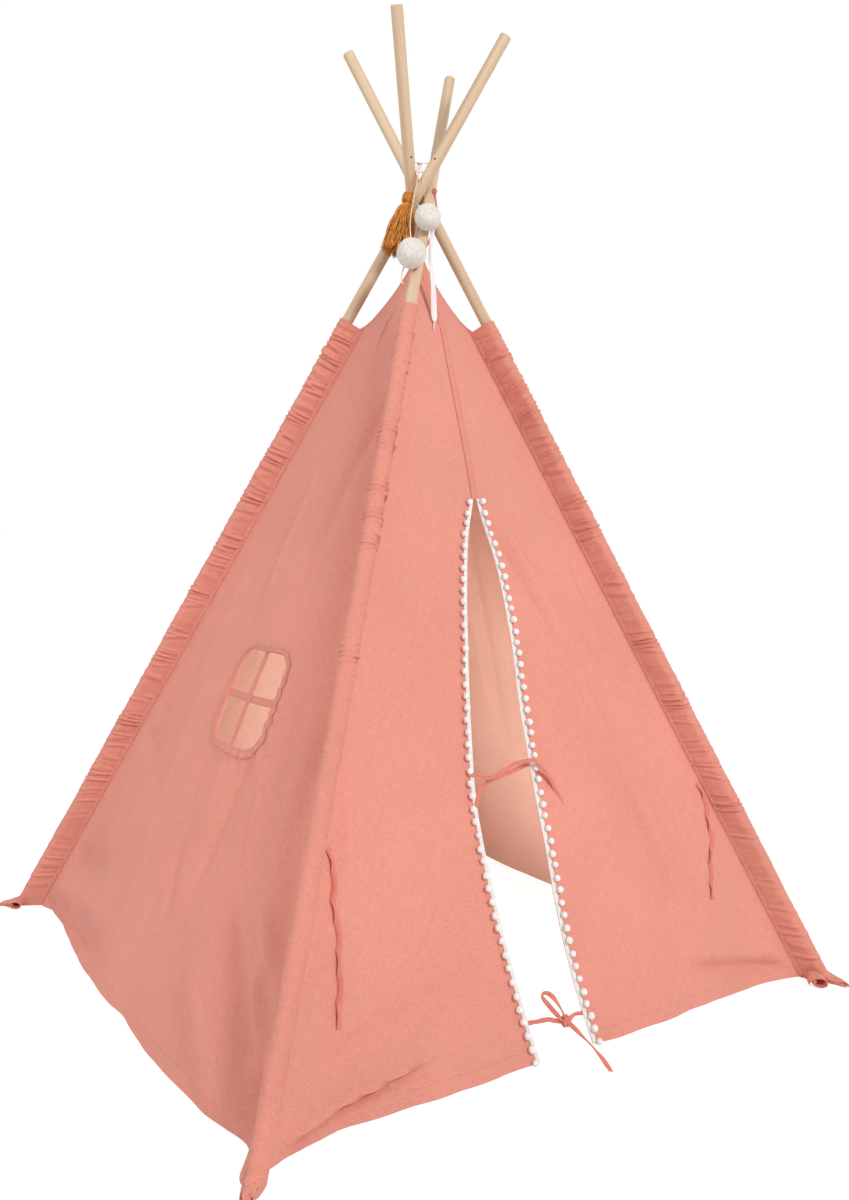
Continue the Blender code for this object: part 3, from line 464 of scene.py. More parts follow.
def wood(name, direction, seed):
    """Pale sanded pine: long grain along the pole and a few darker streaks."""
    paint = Paint(name)
    turn = direction.to_track_quat("Z", "Y").inverted().to_euler()
    shift = paint.node("VectorMath", operation="ADD")
    paint.link(paint.stretched(paint.object_places(), (1, 1, 1), turn), shift.inputs[0])
    shift.inputs[1].default_value = [seed * way for way in WOOD_SHIFT]

    def grain_of(across, along, detail):
        return paint.noise(paint.stretched(shift.outputs["Vector"], (across, across, along)), 1.0, detail)

    grain = paint.weighed(grain_of(210, 3, 1), 0.35, grain_of(60, 1.6, 2), 0.65)
    colour = paint.ramp(grain, [(0.28, srgb(194, 163, 130)), (0.44, srgb(206, 178, 147)),
                                (0.58, srgb(214, 188, 158)), (0.76, srgb(222, 199, 171))])
    streak = paint.ramp(grain_of(120, 2.2, 1), [(0.68, (0, 0, 0, 1)), (0.78, (0.22, 0.22, 0.22, 1))])
    colour = paint.mix(streak, colour, srgb(200, 164, 124))
    return paint.finish(colour, None, Roughness=0.58, Specular_IOR_Level=0.35)


def fuzzy(name, light, deep, scale, depth):
    """Felt or cotton fluff: matte, with a fine broken surface."""
    paint = Paint(name)
    places = paint.object_places()
    fibre = paint.noise(places, scale, detail=5, roughness=0.65, distortion=0.8)
    cloud = paint.noise(places, scale / 7, detail=3)
    tone = paint.weighed(fibre, 0.6, cloud, 0.4)
    colour = paint.ramp(tone, [(0.34, deep), (0.58, light)])
    normal = paint.bump(fibre, depth, strength=0.8)
    return paint.finish(colour, normal, Roughness=0.97, Sheen_Weight=0.5, Sheen_Roughness=0.6)


def yarn(name, light, deep):
    """Spun yarn: fine strands with light and dark plies."""
    paint = Paint(name)
    places = paint.object_places()
    strand = paint.noise(paint.stretched(places, (1, 1, 0.12)), scale=900.0, detail=3, roughness=0.6)
    cloud = paint.noise(places, scale=85.0)
    tone = paint.weighed(strand, 0.55, cloud, 0.45)
    colour = paint.ramp(tone, [(0.34, deep), (0.50, light), (0.66, lighter(light, 1.25))])
    normal = paint.bump(strand, distance=0.0003, strength=0.7)
    return paint.finish(colour, normal, Roughness=0.80, Sheen_Weight=0.4, Sheen_Roughness=0.4)


def metal(name):
    paint = Paint(name)
    scratches = paint.noise(paint.stretched(paint.object_places(), (40, 40, 900)), 1.0, 4)
    colour = paint.ramp(scratches, [(0.35, srgb(176, 178, 182)), (0.65, srgb(214, 215, 218))])
    return paint.finish(colour, paint.bump(scratches, 0.0001, 0.4), Roughness=0.35, Metallic=1.0)


def clear_plastic(name):
    paint = Paint(name)
    cloud = paint.noise(paint.object_places(), 400.0, 2)
    colour = paint.ramp(cloud, [(0.3, srgb(226, 206, 192)), (0.7, srgb(246, 238, 230))])
    return paint.finish(colour, None, Roughness=0.25, Specular_IOR_Level=0.5, Coat_Weight=0.3)


FLOOR_GLOW = 1.40
FLOOR_WHITE_SHARE = 0.60


def floor_material():
    """A pale matte floor that looks white to the camera and keeps the object's shadow."""
    paint = Paint("floor")
    cloud = paint.noise(paint.object_places(), scale=1.2)
    colour = paint.ramp(cloud, [(0.3, (0.80, 0.80, 0.80, 1)), (0.7, (0.82, 0.82, 0.82, 1))])
    material = paint.finish(colour, None, Roughness=0.95)
    matte = paint.shader.outputs["BSDF"]
    glow = paint.node("Emission")
    glow.inputs["Strength"].default_value = FLOOR_GLOW
    white = paint.mix_shaders(FLOOR_WHITE_SHARE, matte, glow.outputs["Emission"])
    seen = paint.mix_shaders(paint.node("LightPath").outputs["Is Camera Ray"], matte, white)
    paint.link(seen, paint.output.inputs["Surface"])
    return material


CORAL_THROUGH = srgb(250, 150, 118)
PAINT = {
    "cover": canvas("canvas_cover", srgb(239, 166, 148), srgb(222, 138, 120), CORAL_THROUGH),
    "inside": canvas("canvas_inside", srgb(222, 190, 171), srgb(198, 164, 145), CORAL_THROUGH),
    "binding": canvas("canvas_binding", srgb(236, 157, 139), srgb(214, 128, 111), CORAL_THROUGH, 0.10),
    # The cover's cloth, painted darker as painted shade for the sleeves; the straps, the placket and the curls also
    # use it
    "sleeve": canvas("canvas_sleeve_painted_shade", srgb(231, 151, 132), srgb(213, 126, 108), CORAL_THROUGH, 0.10),
    "ribbon": canvas("canvas_ribbon", srgb(226, 134, 117), srgb(204, 110, 95), CORAL_THROUGH, 0.05),
    "tape": canvas("canvas_tape", srgb(246, 243, 240), srgb(226, 221, 216), srgb(246, 240, 236), 0.10),
    "lace": canvas("white_lace", srgb(244, 238, 238), srgb(222, 214, 214), srgb(240, 235, 235), 0.05),
    "pompom": fuzzy("cotton_pompom", srgb(254, 252, 250), srgb(240, 235, 231), 1500.0, 0.0005),
    "felt": fuzzy("wool_felt", srgb(232, 226, 217), srgb(202, 195, 185), 900.0, 0.0008),
    "stitch": yarn("stitch_thread", srgb(206, 116, 100), srgb(176, 88, 74)),
    "mustard": yarn("mustard_yarn", srgb(214, 140, 46), srgb(150, 86, 22)),
    "cord": yarn("white_cord", srgb(244, 241, 236), srgb(214, 209, 202)),
    "thread": yarn("natural_thread", srgb(226, 200, 172), srgb(186, 152, 122)),
    "steel": metal("steel_tube"),
    "aglet": clear_plastic("aglet_plastic"),
}


# Mesh building

def link_object(name, mesh, paint, slot, body, replaced=()):
    obj = bpy.data.objects.new(name, mesh)
    bpy.context.collection.objects.link(obj)
    mesh.materials.append(PAINT[paint] if isinstance(paint, str) else paint)
    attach(obj, body)
    if replaced:
        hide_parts(*replaced)
    return obj


def repaint(node, material):
    """Gives a solid of the frame its finished look."""
    NODES[node].data.materials.clear()
    NODES[node].data.materials.append(material)


def mesh_of(name, points, faces, uv=None, sharp_deg=50):
    mesh = bpy.data.meshes.new(name)
    mesh.from_pydata([tuple(p) for p in points], [], [tuple(int(i) for i in face) for face in faces])
    if uv is not None:
        layer = mesh.uv_layers.new(name="weave")
        order = np.zeros(len(mesh.loops), int)
        mesh.loops.foreach_get("vertex_index", order)
        layer.data.foreach_set("uv", np.asarray(uv, float)[order].ravel())
    mesh.shade_smooth()
    mesh.set_sharp_from_angle(angle=math.radians(sharp_deg))
    return mesh


def line_inside(obj, levels, columns):
    """Gives the back layer of a cloth shell the paler look of the cloth's inner side."""
    mesh = obj.data
    mesh.materials.append(PAINT["inside"])
    layer = (levels - 1) * (columns - 1)
    index = np.zeros(len(mesh.polygons), int)
    index[layer:2 * layer] = 1
    mesh.polygons.foreach_set("material_index", index)


def unit(array):
    return array / np.maximum(np.linalg.norm(array, axis=-1, keepdims=True), 1e-12)


def lengths_along(points):
    return np.r_[0, np.cumsum(np.linalg.norm(np.diff(points, axis=0), axis=1))]


def at_lengths(points, lengths, at):
    return np.stack([np.interp(at, lengths, column) for column in points.T], axis=-1)


def wander(x, y, z):
    return noise.noise(Vector((x, y, z)))


def grid_faces(index, closed=False):
    after = np.roll(index, -1, 1) if closed else index[:, 1:]
    here = index if closed else index[:, :-1]
    return np.stack([here[:-1], after[:-1], after[1:], here[1:]], axis=-1).reshape(-1, 4)


def capped_faces(index):
    """Faces of a closed tube of rings with a lid on both ends."""
    return [tuple(f) for f in grid_faces(index, closed=True)] + [tuple(index[0][::-1]), tuple(index[-1])]


def shell(name, rows, thickness, weave=None):
    """A closed sheet of cloth round a grid of points, level by level, with its weave laid along it."""
    rows = np.array(rows, float)
    levels, columns = rows.shape[:2]
    normal = unit(np.cross(np.gradient(rows, axis=1), np.gradient(rows, axis=0)))
    half = normal * (np.broadcast_to(thickness, (levels, columns))[..., None] / 2)
    points = np.concatenate([(rows + half).reshape(-1, 3), (rows - half).reshape(-1, 3)])
    front = np.arange(levels * columns).reshape(levels, columns)
    back = front + levels * columns
    faces = [grid_faces(front), grid_faces(back)[:, ::-1]]
    for a, b in ((front[:, 0], back[:, 0]), (back[:, -1], front[:, -1]), (back[0], front[0]),
                 (front[-1], back[-1])):
        faces.append(np.stack([a[:-1], a[1:], b[1:], b[:-1]], axis=-1))
    if weave is None:
        step_u = np.linalg.norm(np.diff(rows, axis=1), axis=2).mean(axis=0)
        step_v = np.linalg.norm(np.diff(rows, axis=0), axis=2).mean(axis=1)
        u, v = np.meshgrid(np.r_[0, np.cumsum(step_u)], np.r_[0, np.cumsum(step_v)])
    else:
        u, v = rows @ np.array(weave[0]), rows @ np.array(weave[1])
    uv = np.stack([u, v], axis=-1).reshape(-1, 2)
    return mesh_of(name, points, np.concatenate(faces), np.concatenate([uv, uv]))


def merged(parts):
    """One list of points and faces from several (points, faces) pairs."""
    points, faces, count = [], [], 0
    for some_points, some_faces in parts:
        points.append(np.array(some_points, float))
        faces += [tuple(i + count for i in face) for face in some_faces]
        count += len(some_points)
    return np.concatenate(points), faces


def ways_across(path):
    """Two unit vectors across a path at each of its points, carried without twist."""
    along = unit(np.gradient(path, axis=0))
    side = np.cross(along[0], (0, 0, 1.0))
    if np.linalg.norm(side) < 0.2:
        side = np.cross(along[0], (0, 1.0, 0))
    sides = []
    for way in along:
        side = side - way * side.dot(way)
        side = side / np.linalg.norm(side)
        sides.append(side)
    sides = np.array(sides)
    return sides, np.cross(along, sides)


def tube_part(path, radius, sides=6):
    """Points and faces of a capped round tube; the radius may differ along it."""
    path = np.array(path, float)
    side, other = ways_across(path)
    radius = np.broadcast_to(radius, len(path))
    turn = np.arange(sides) * 2 * math.pi / sides
    ring = side[:, None] * np.cos(turn)[:, None] + other[:, None] * np.sin(turn)[:, None]
    points = (path[:, None] + ring * radius[:, None, None]).reshape(-1, 3)
    return points, capped_faces(np.arange(len(points)).reshape(len(path), sides))


# A laid cord's plies, as shares of its diameter, and the steps along each turn
PLY_PITCH_SHARE = 3.2
PLY_PLACE_SHARE = 0.23
PLY_RADIUS_SHARE = 0.28
PLY_STEPS = 7
PLY_SIDES = 5


def twisted_parts(path, diameter, plies):
    """A laid cord: plies that wind round each other along a path."""
    path = np.array(path, float)
    pitch = diameter * PLY_PITCH_SHARE
    lengths = lengths_along(path)
    at = np.linspace(0, lengths[-1], max(8, int(lengths[-1] / (pitch / PLY_STEPS))))
    path = at_lengths(path, lengths, at)
    side, other = ways_across(path)
    parts = []
    for ply in range(plies):
        turn = at / pitch * 2 * math.pi + ply * 2 * math.pi / plies
        way = side * np.cos(turn)[:, None] + other * np.sin(turn)[:, None]
        parts.append(tube_part(path + way * diameter * PLY_PLACE_SHARE, diameter * PLY_RADIUS_SHARE, PLY_SIDES))
    return parts


STITCH_PITCH = 0.0036
STITCH_LENGTH = 0.0026
STITCH_RADIUS = 0.00042
STITCH_LIFT_SHARE = 0.6
STITCH_FACES = [(0, i, i % 4 + 1) for i in range(1, 5)] + [(5, i % 4 + 1, i) for i in range(1, 5)]


def stitch_parts(points, normals):
    """A row of sewn stitches along a line on cloth."""
    points, normals = np.array(points, float), unit(np.array(normals, float))
    lengths = lengths_along(points)
    parts = []
    for place in np.arange(STITCH_PITCH / 2, lengths[-1], STITCH_PITCH):
        start, middle, end = at_lengths(points, lengths, place + np.array((-1, 0, 1)) * STITCH_LENGTH / 2)
        normal = unit(at_lengths(normals, lengths, place))
        side = unit(np.cross(end - start, normal))
        middle = middle + normal * STITCH_RADIUS * STITCH_LIFT_SHARE
        ring = [middle + way * STITCH_RADIUS for way in (side, normal, -side, -normal)]
        parts.append((np.array([start] + ring + [end]), STITCH_FACES))
    return parts


def link_parts(name, parts, paint, slot, body, replaced=(), sharp_deg=80):
    points, faces = merged(parts)
    return link_object(name, mesh_of(name, points, faces, sharp_deg=sharp_deg), paint, slot, body, replaced)


def add_stitches(name, lines, body, slot="cover", paint="stitch"):
    parts = [part for points, normals in lines for part in stitch_parts(points, normals)]
    return link_parts(name, parts, paint, slot, body, sharp_deg=50)


# Heights, in metres, at which fold_in takes a side's way across and a seam's place
FOLD_LEVEL = 0.3
FOLD_PLACE_LEVEL = 0.4


def fold_in(obj, corner, side="front"):
    """Gives a piece a mesh of its own; the way across its side and its seam's place are worked out but not used."""
    pole = POLES[corner]
    across = side_row(side, FOLD_LEVEL)[2]
    across = (across - pole.direction * across.dot(pole.direction)).normalized()
    tuple(across)
    tuple(seam_point(pole, FOLD_PLACE_LEVEL))
    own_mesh(obj)


# Cloth surfaces

WINDOW_WIDTH = 0.152
WINDOW_HEIGHT = 0.156
WINDOW_CORNER = 0.034
WINDOW_OFFSET = 0.040
WINDOW_MIDDLE_HEIGHT = 0.468
WINDOW_SLOPE = math.hypot(CROSSING_HEIGHT, BASE_WIDTH / 2) / CROSSING_HEIGHT
WRINKLE_DEPTH = 0.0018
WRINKLE_COUNT = 27
WRINKLE_LIMITS = (-0.01, 0.09)
WRINKLE_PLACE = 0.014
WRINKLE_WIDTH = 0.022


def bell(value):
    return math.exp(-value * value)


def window_wrinkles(sideways, rise):
    """Short creases that run out from the window's seam, mostly at its lower right."""
    past = max(abs(sideways) - WINDOW_WIDTH / 2, abs(rise) - WINDOW_HEIGHT / 2)
    if not WRINKLE_LIMITS[0] < past < WRINKLE_LIMITS[1]:
        return 0.0
    turn = math.atan2(rise, sideways)
    lower_right = 0.35 + bell((turn + 0.55) / 1.1)
    return (WRINKLE_DEPTH * math.sin(turn * WRINKLE_COUNT + 4 * wander(turn * 2, 3, 1))
            * bell((past - WRINKLE_PLACE) / WRINKLE_WIDTH) * lower_right)


# Soft creases of each side: start (sideways, height), end, width and depth, all in metres
CREASES = {
    "front": [((0.011, 0.772), (0.162, 0.439), 0.011, -0.0034), ((0.040, 0.781), (0.120, 0.597), 0.010, 0.0022),
              ((0.045, 0.790), (0.330, 0.360), 0.017, -0.0026), ((0.181, 0.694), (0.267, 0.479), 0.012, -0.0024),
              ((0.075, 0.640), (0.270, 0.180), 0.026, 0.0040), ((0.160, 0.420), (0.250, 0.120), 0.018, -0.0030),
              ((-0.325, 0.560), (-0.405, 0.180), 0.011, -0.0026), ((-0.285, 0.640), (-0.345, 0.250), 0.012, 0.0022),
              ((-0.270, 0.500), (-0.300, 0.220), 0.010, -0.0016), ((-0.484, 0.004), (-0.260, 0.040), 0.005, -0.0055),
              ((-0.470, 0.016), (-0.240, 0.055), 0.008, 0.0045), ((-0.430, 0.060), (-0.150, 0.130), 0.020, -0.0040),
              ((-0.100, 0.960), (-0.190, 0.620), 0.016, 0.0018), ((0.120, 0.900), (0.210, 0.700), 0.012, -0.0016),
              ((0.261, 0.048), (0.516, 0.012), 0.012, -0.0044), ((0.250, 0.080), (0.500, 0.036), 0.016, 0.0036),
              ((0.020, 1.050), (0.010, 0.830), 0.012, 0.0012)],
    "window": [((0.210, 0.200), (0.460, 0.002), 0.020, -0.0080), ((0.180, 0.130), (0.380, 0.004), 0.024, 0.0050),
               ((0.300, 0.230), (0.420, 0.110), 0.014, 0.0040), ((-0.510, 0.004), (-0.110, 0.036), 0.020, -0.0048),
               ((-0.500, 0.101), (-0.250, 0.134), 0.024, -0.0046), ((-0.480, 0.050), (-0.200, 0.086), 0.020, 0.0040),
               ((0.115, 0.400), (0.100, 0.190), 0.013, -0.0028), ((0.010, 0.240), (0.060, 0.140), 0.012, -0.0022),
               ((-0.150, 0.900), (-0.250, 0.600), 0.014, 0.0022), ((0.080, 1.000), (0.060, 0.640), 0.014, -0.0026),
               ((0.150, 0.420), (0.215, 0.250), 0.008, 0.0018), ((-0.330, 0.360), (-0.210, 0.330), 0.014, -0.0022),
               ((-0.030, 0.830), (-0.040, 0.620), 0.011, 0.0018), ((0.230, 0.620), (0.290, 0.300), 0.016, -0.0030),
               ((0.330, 0.170), (0.395, 0.040), 0.012, 0.0030)],
    "right": [((-0.200, 0.600), (-0.330, 0.100), 0.020, -0.0050), ((0.050, 0.900), (0.120, 0.300), 0.022, 0.0045),
              ((0.250, 0.450), (0.360, 0.050), 0.020, -0.0045), ((-0.050, 0.300), (0.020, 0.040), 0.018, 0.0035)],
    "back": [((-0.100, 0.850), (-0.260, 0.250), 0.022, -0.0045), ((0.120, 0.700), (0.260, 0.150), 0.022, 0.0045),
             ((-0.380, 0.200), (-0.180, 0.030), 0.020, -0.0050), ((0.020, 0.450), (0.060, 0.060), 0.018, -0.0030)],
}
CREASE_DEPTH = 2.4
SIDE_SEEDS = {"front": 3.1, "window": 7.7, "right": 12.9, "back": 21.3}
# The hanging cloth stands out by broad folds, streaks and small waves, and puckers beside its seams
CALM_REACH = 0.045
BROAD_DEPTH = 0.0095
STREAK_DEPTH = 0.0045
SMALL_DEPTH = 0.0011
PUCKER_DEPTH = 0.0011
PUCKER_START = 0.004
PUCKER_REACH = 0.024
# The hollow of the window side along the nearest sleeve
HOLLOW_DEPTH = 0.0100
HOLLOW_PLACE = 0.050
HOLLOW_WIDTH = 0.026
HOLLOW_TOP = 1.15
HOLLOW_FADE = 0.25


def drape(side, sideways, height, edge):
    """How far the hanging cloth stands out from its smooth surface, at a distance from its nearest seam."""
    seed = SIDE_SEEDS[side]
    calm = min(1.0, max(0.0, edge / CALM_REACH))
    calm = calm * calm * (3 - 2 * calm)
    broad = wander(sideways * 3.8, height * 2.8, seed) * BROAD_DEPTH
    streak = wander(sideways * 14.0 + height * 2.0, height * 2.1, seed + 4) * STREAK_DEPTH
    small = wander(sideways * 30.0, height * 16.0, seed + 9) * SMALL_DEPTH
    total = (broad + streak) * (0.35 + level_share(height)) + small
    for (x0, h0), (x1, h1), width, depth in CREASES[side]:
        run, rise = x1 - x0, h1 - h0
        share = ((sideways - x0) * run + (height - h0) * rise) / (run * run + rise * rise)
        if -0.15 < share < 1.15:
            off = ((sideways - x0) * rise - (height - h0) * run) / math.hypot(run, rise)
            fade = max(0.0, min(1.0, min(share + 0.15, 1.15 - share) / 0.4))
            total += CREASE_DEPTH * depth * bell(off / width) * fade * fade * (3 - 2 * fade)
    if side == "window":
        if sideways > 0:
            fade = min(1.0, max(0.0, HOLLOW_TOP - height) / HOLLOW_FADE)
            total -= HOLLOW_DEPTH * bell((edge - HOLLOW_PLACE) / HOLLOW_WIDTH) * fade
        total += window_wrinkles(sideways - WINDOW_OFFSET, (height - WINDOW_MIDDLE_HEIGHT) * WINDOW_SLOPE)
    pucker = math.sin(height * 150 + 5.0 * wander(height * 9, seed, 0))
    pucker *= PUCKER_DEPTH * (0.6 + wander(height * 14, seed, 7))
    return total * calm + pucker * bell(edge / PUCKER_REACH) * min(1.0, edge / PUCKER_START)


HEM_ROWS = (0.0, 0.0035, 0.008, 0.0135, 0.0175, 0.0195, 0.0205, 0.0215, 0.0235, 0.028, 0.034)
HEM_HEIGHT = 0.0205
HEM_THICKNESS_SHARE = 1.75
HEM_STITCH_LEVEL = HEM_CLEARANCE + 0.0180
PEAK_ROWS = 16


def hem_levels(top_count):
    """Heights of a panel's rows: close together in the hem, then even."""
    below = [HEM_CLEARANCE + value for value in HEM_ROWS]
    return below + list(np.linspace(below[-1], SEAM_TOP, top_count)[1:])


def peak_levels():
    return list(np.linspace(SEAM_TOP, PEAK_HEIGHT, PEAK_ROWS))[1:]


def hem_thickness(height):
    return CLOTH * (HEM_THICKNESS_SHARE if height < HEM_CLEARANCE + HEM_HEIGHT else 1.0)


def side_length(side, height):
    start, end = side_row(side, height)[:2]
    return (end - start).length


LAP = (0.0006, 0.0022, 0.0042)
LAP_WIDEN = 0.37
LAP_START = 0.0025
LAP_FADE = 0.012
LAP_END_SHARE = 0.03


def lap_on_sleeve(corner, inward, height):
    """A panel's seam allowance, from its inner end outwards, where it lies on the side of the sleeve's tail."""
    pole = POLES[corner]
    across = (inward - pole.direction * inward.dot(pole.direction) - pole.out * inward.dot(pole.out)).normalized()
    fade = max(LAP_END_SHARE, min(1.0, (SEAM_TOP + LAP_FADE - height) / LAP_FADE))
    base = corner_edge(corner, height)
    return [base + pole.out * (EDGE_REACH - SLEEVE_TAIL + reach * fade)
            + across * (SEAM_SPREAD + (LAP_START - SEAM_SPREAD + LAP_WIDEN * reach) * fade) for reach in LAP]


# The lower corners of two panels are drawn out round the nearest sleeve's foot
PULL_OUT = {"window": 0.058, "front": 0.016}
PULL_ASIDE = {"window": 0.015, "front": 0.003}
PULL_HEIGHT = 0.100
PULL_REACH = 0.058


def foot_pull(side, edge, height, inward):
    """How far a panel's cloth is moved there, at a distance from its seam with the sleeve."""
    if height > PULL_HEIGHT:
        return Vector((0, 0, 0))
    weight = (1 - height / PULL_HEIGHT) ** 1.5 * bell(edge / PULL_REACH)
    return (POLES["front_left"].radial * PULL_OUT[side] + inward * PULL_ASIDE[side]) * weight


def side_cloth(side, share, height, out=0.0):
    length = side_length(side, height)
    edge = min(share, 1 - share) * length
    across, outward = side_row(side, height)[2:4]
    point = side_point(side, share, height) + outward * (drape(side, (share - 0.5) * length, height, edge) + out)
    if side == "window" and share > 0.5:
        point += foot_pull(side, edge, height, -across)
    return point


def front_cloth(point, height, edge, out=0.0):
    """A point of the front with its folds; the calm edge is only the one at the corner."""
    sideways = (point - front_middle(height)).dot(DOOR_ACROSS)
    return point + DOOR_ACROSS.cross(UP) * (drape("front", sideways, height, edge) + out)


def half_cloth(hand, share, height, out=0.0):
    point = front_half_point(hand, share, height)
    edge = (point - front_outer(hand, height)).length
    cloth = front_cloth(point, height, edge, out)
    return cloth + foot_pull("front", edge, height, DOOR_ACROSS) if hand < 0 else cloth


def door_cloth(hand, offset, height, out=0.0):
    point = door_point(offset, height)
    return front_cloth(point, height, (point - front_outer(hand, height)).length, out)


def flap_cloth(hand, share, height, out=0.0):
    fold = (fold_point(hand, height) - door_point(0, height)).dot(DOOR_ACROSS)
    return door_cloth(hand, fold + (door_edge_offset(hand, height) - fold) * share, height, out)


WEAVE_LEVELS = (0.1, 0.3, 0.9)


def weave_axes(side):
    low, middle, high = WEAVE_LEVELS
    climb = (side_point(side, 0.5, high) - side_point(side, 0.5, low)).normalized()
    return tuple(side_row(side, middle)[2]), tuple(climb)


LINE_SHARE_STEP = 0.01
LINE_HEIGHT_STEP = 0.004


def line_on(surface, shares, heights, out):
    """Points along a line on a cloth surface, and the way out from it at each."""
    points, normals = [], []
    for share, height in zip(shares, heights):
        before, after = max(0, share - LINE_SHARE_STEP), min(1, share + LINE_SHARE_STEP)
        low = max(HEM_CLEARANCE, height - LINE_HEIGHT_STEP)
        run = surface(after, height, out) - surface(before, height, out)
        normal = run.cross(surface(share, height + LINE_HEIGHT_STEP, out) - surface(share, low, out))
        points.append(surface(share, height, out))
        normals.append(normal.normalized() if normal.length > 0 else UP)
    return points, normals


# Window: its outline's corners, its turned edge's section (reach from the edge, way out), straps and seams

OUTLINE_CORNER_POINTS = 12
WINDOW_STEP = 0.011
CUTTER_REACH = 0.02
BINDING_POINTS = 216
BINDING_UV_STEPS = (0.0032, 0.003)
BINDING_SECTION = ((0.0125, 0.0010), (0.0118, 0.0021), (0.0095, 0.0026), (0.0060, 0.0025), (0.0022, 0.0023),
                   (0.0000, 0.0015), (-0.0007, 0.0000), (0.0000, -0.0034), (0.0030, -0.0041), (0.0080, -0.0039),
                   (0.0125, -0.0036), (0.0125, -0.0030), (0.0040, -0.0030), (0.0013, -0.0022), (0.0011, 0.0002),
                   (0.0024, 0.0010), (0.0070, 0.0009))
BINDING_LIFT = 0.0004
BINDING_WAVE = 0.0019
BINDING_WAVE_START = 0.004
BINDING_INNER_WAVE = 0.0008
BINDING_SEAMS = ((0.0102, 0.0030), (0.0024, 0.0031))
BINDING_SEAM_POINTS = 96
STRAP_SPREAD = 0.0125
STRAP_LAP = 0.0100
STRAP_THICKNESS = 0.0009
STRAP_ROWS = 44
STRAP_COLUMNS = 7
STRAP_SAG = 0.0006
STRAP_CROWN = 0.0004
STRAP_WANDER = 0.0016
STRAP_STITCH_SHARE = 0.34
STRAP_STITCH_LIFT = 0.0007
STRAP_STITCH_LEVELS = np.linspace(-0.96, 0.96, 40)
STRAPS = (("vertical", WINDOW_HEIGHT / 2 + STRAP_LAP, -0.0016, True),
          ("horizontal", WINDOW_WIDTH / 2 + STRAP_LAP, -0.0027, False))


def window_outline(grow=0.0):
    width, height, corner = WINDOW_WIDTH / 2 + grow, WINDOW_HEIGHT / 2 + grow, WINDOW_CORNER + grow
    points = []
    for quarter, (across, rise) in enumerate(((1, 1), (-1, 1), (-1, -1), (1, -1))):
        for step in range(OUTLINE_CORNER_POINTS):
            turn = math.pi / 2 * (quarter + step / (OUTLINE_CORNER_POINTS - 1))
            points.append((across * (width - corner) + corner * math.cos(turn),
                           rise * (height - corner) + corner * math.sin(turn)))
    return points


def even_outline(grow, count):
    """The window outline again with evenly spaced points."""
    points = np.array(window_outline(grow))
    closed = np.vstack([points, points[:1]])
    lengths = lengths_along(closed)
    return at_lengths(closed, lengths, np.linspace(0, lengths[-1], count, endpoint=False))


def band_share(sideways, rise):
    """How much of the window's turned edge shows outside: most at the right and foot, least at the left and top."""
    turn = math.atan2(rise, sideways)
    return 0.26 + 0.90 * (0.5 + 0.5 * math.cos(turn + 0.75)) ** 0.7


def window_place(sideways, rise, out=0.0):
    """A place on the window side and the way out from it, measured from the window's middle."""
    height = WINDOW_MIDDLE_HEIGHT + rise / WINDOW_SLOPE

    def place(offset, level):
        return side_cloth("window", 0.5 + offset / side_length("window", level), level)

    middle = WINDOW_OFFSET + sideways
    run = place(middle + WINDOW_STEP, height) - place(middle - WINDOW_STEP, height)
    climb = place(middle, height + WINDOW_STEP) - place(middle, height - WINDOW_STEP)
    normal = run.cross(climb).normalized()
    return place(middle, height) + normal * out, normal


def cut_window(panel):
    outline = window_outline()
    outward = side_row("window", WINDOW_MIDDLE_HEIGHT)[3]
    points = [window_place(a, b)[0] + outward * out for out in (-CUTTER_REACH, CUTTER_REACH) for a, b in outline]
    faces = capped_faces(np.arange(len(points)).reshape(2, len(outline)))
    cutter = bpy.data.objects.new("cutter_window", mesh_of("cutter_window", points, faces))
    bpy.context.collection.objects.link(cutter)
    cut = panel.modifiers.new("Window", "BOOLEAN")
    cut.operation = "DIFFERENCE"
    cut.solver = "EXACT"
    cut.object = cutter
    bpy.context.view_layer.update()
    made = panel.evaluated_get(bpy.context.evaluated_depsgraph_get())
    mesh = bpy.data.meshes.new_from_object(made)
    panel.modifiers.clear()
    panel.data = mesh
    bpy.data.objects.remove(cutter, do_unlink=True)


def build_binding():
    """The window's turned edge: a ruffled band that shows outside and lies flat inside."""
    base = even_outline(0.0, BINDING_POINTS)
    rows = []
    for grow, out in BINDING_SECTION:
        wide = even_outline(grow, BINDING_POINTS)
        share = np.array([band_share(a, b) if out > 0 and grow > 0 else 1.0 for a, b in base])[:, None]
        for number, (a, b) in enumerate(base + (wide - base) * share):
            wave = wander(number * 0.72, 5.0, grow * 60) * min(1, max(0, grow) / BINDING_WAVE_START)
            wave = BINDING_WAVE * max(wave, 0.0) + BINDING_LIFT if out > 0 else -BINDING_INNER_WAVE * abs(wave)
            rows.append(window_place(a, b, out + wave)[0])
    count = len(BINDING_SECTION)
    index = np.arange(count * BINDING_POINTS).reshape(count, BINDING_POINTS)
    faces = [tuple(f)[::-1] for f in grid_faces(np.vstack([index, index[:1]]), closed=True)]
    uv = np.stack(np.meshgrid(np.arange(BINDING_POINTS) * BINDING_UV_STEPS[0],
                              np.arange(count) * BINDING_UV_STEPS[1]), axis=-1).reshape(-1, 2)
    binding = link_object("window_binding", mesh_of("window_binding", rows, faces, uv, 60), "binding", "cover",
                          "back_left_leg", ("window_facing",))
    fold_in(binding, "back_left", "window")


def binding_seams():
    seams = []
    base = even_outline(0.0, BINDING_SEAM_POINTS)
    for grow, out in BINDING_SEAMS:
        wide = even_outline(grow, BINDING_SEAM_POINTS)
        outline = base + (wide - base) * np.array([band_share(a, b) for a, b in base])[:, None]
        seams.append(tuple(zip(*[window_place(a, b, out) for a, b in np.vstack([outline, outline[:1]])])))
    return seams


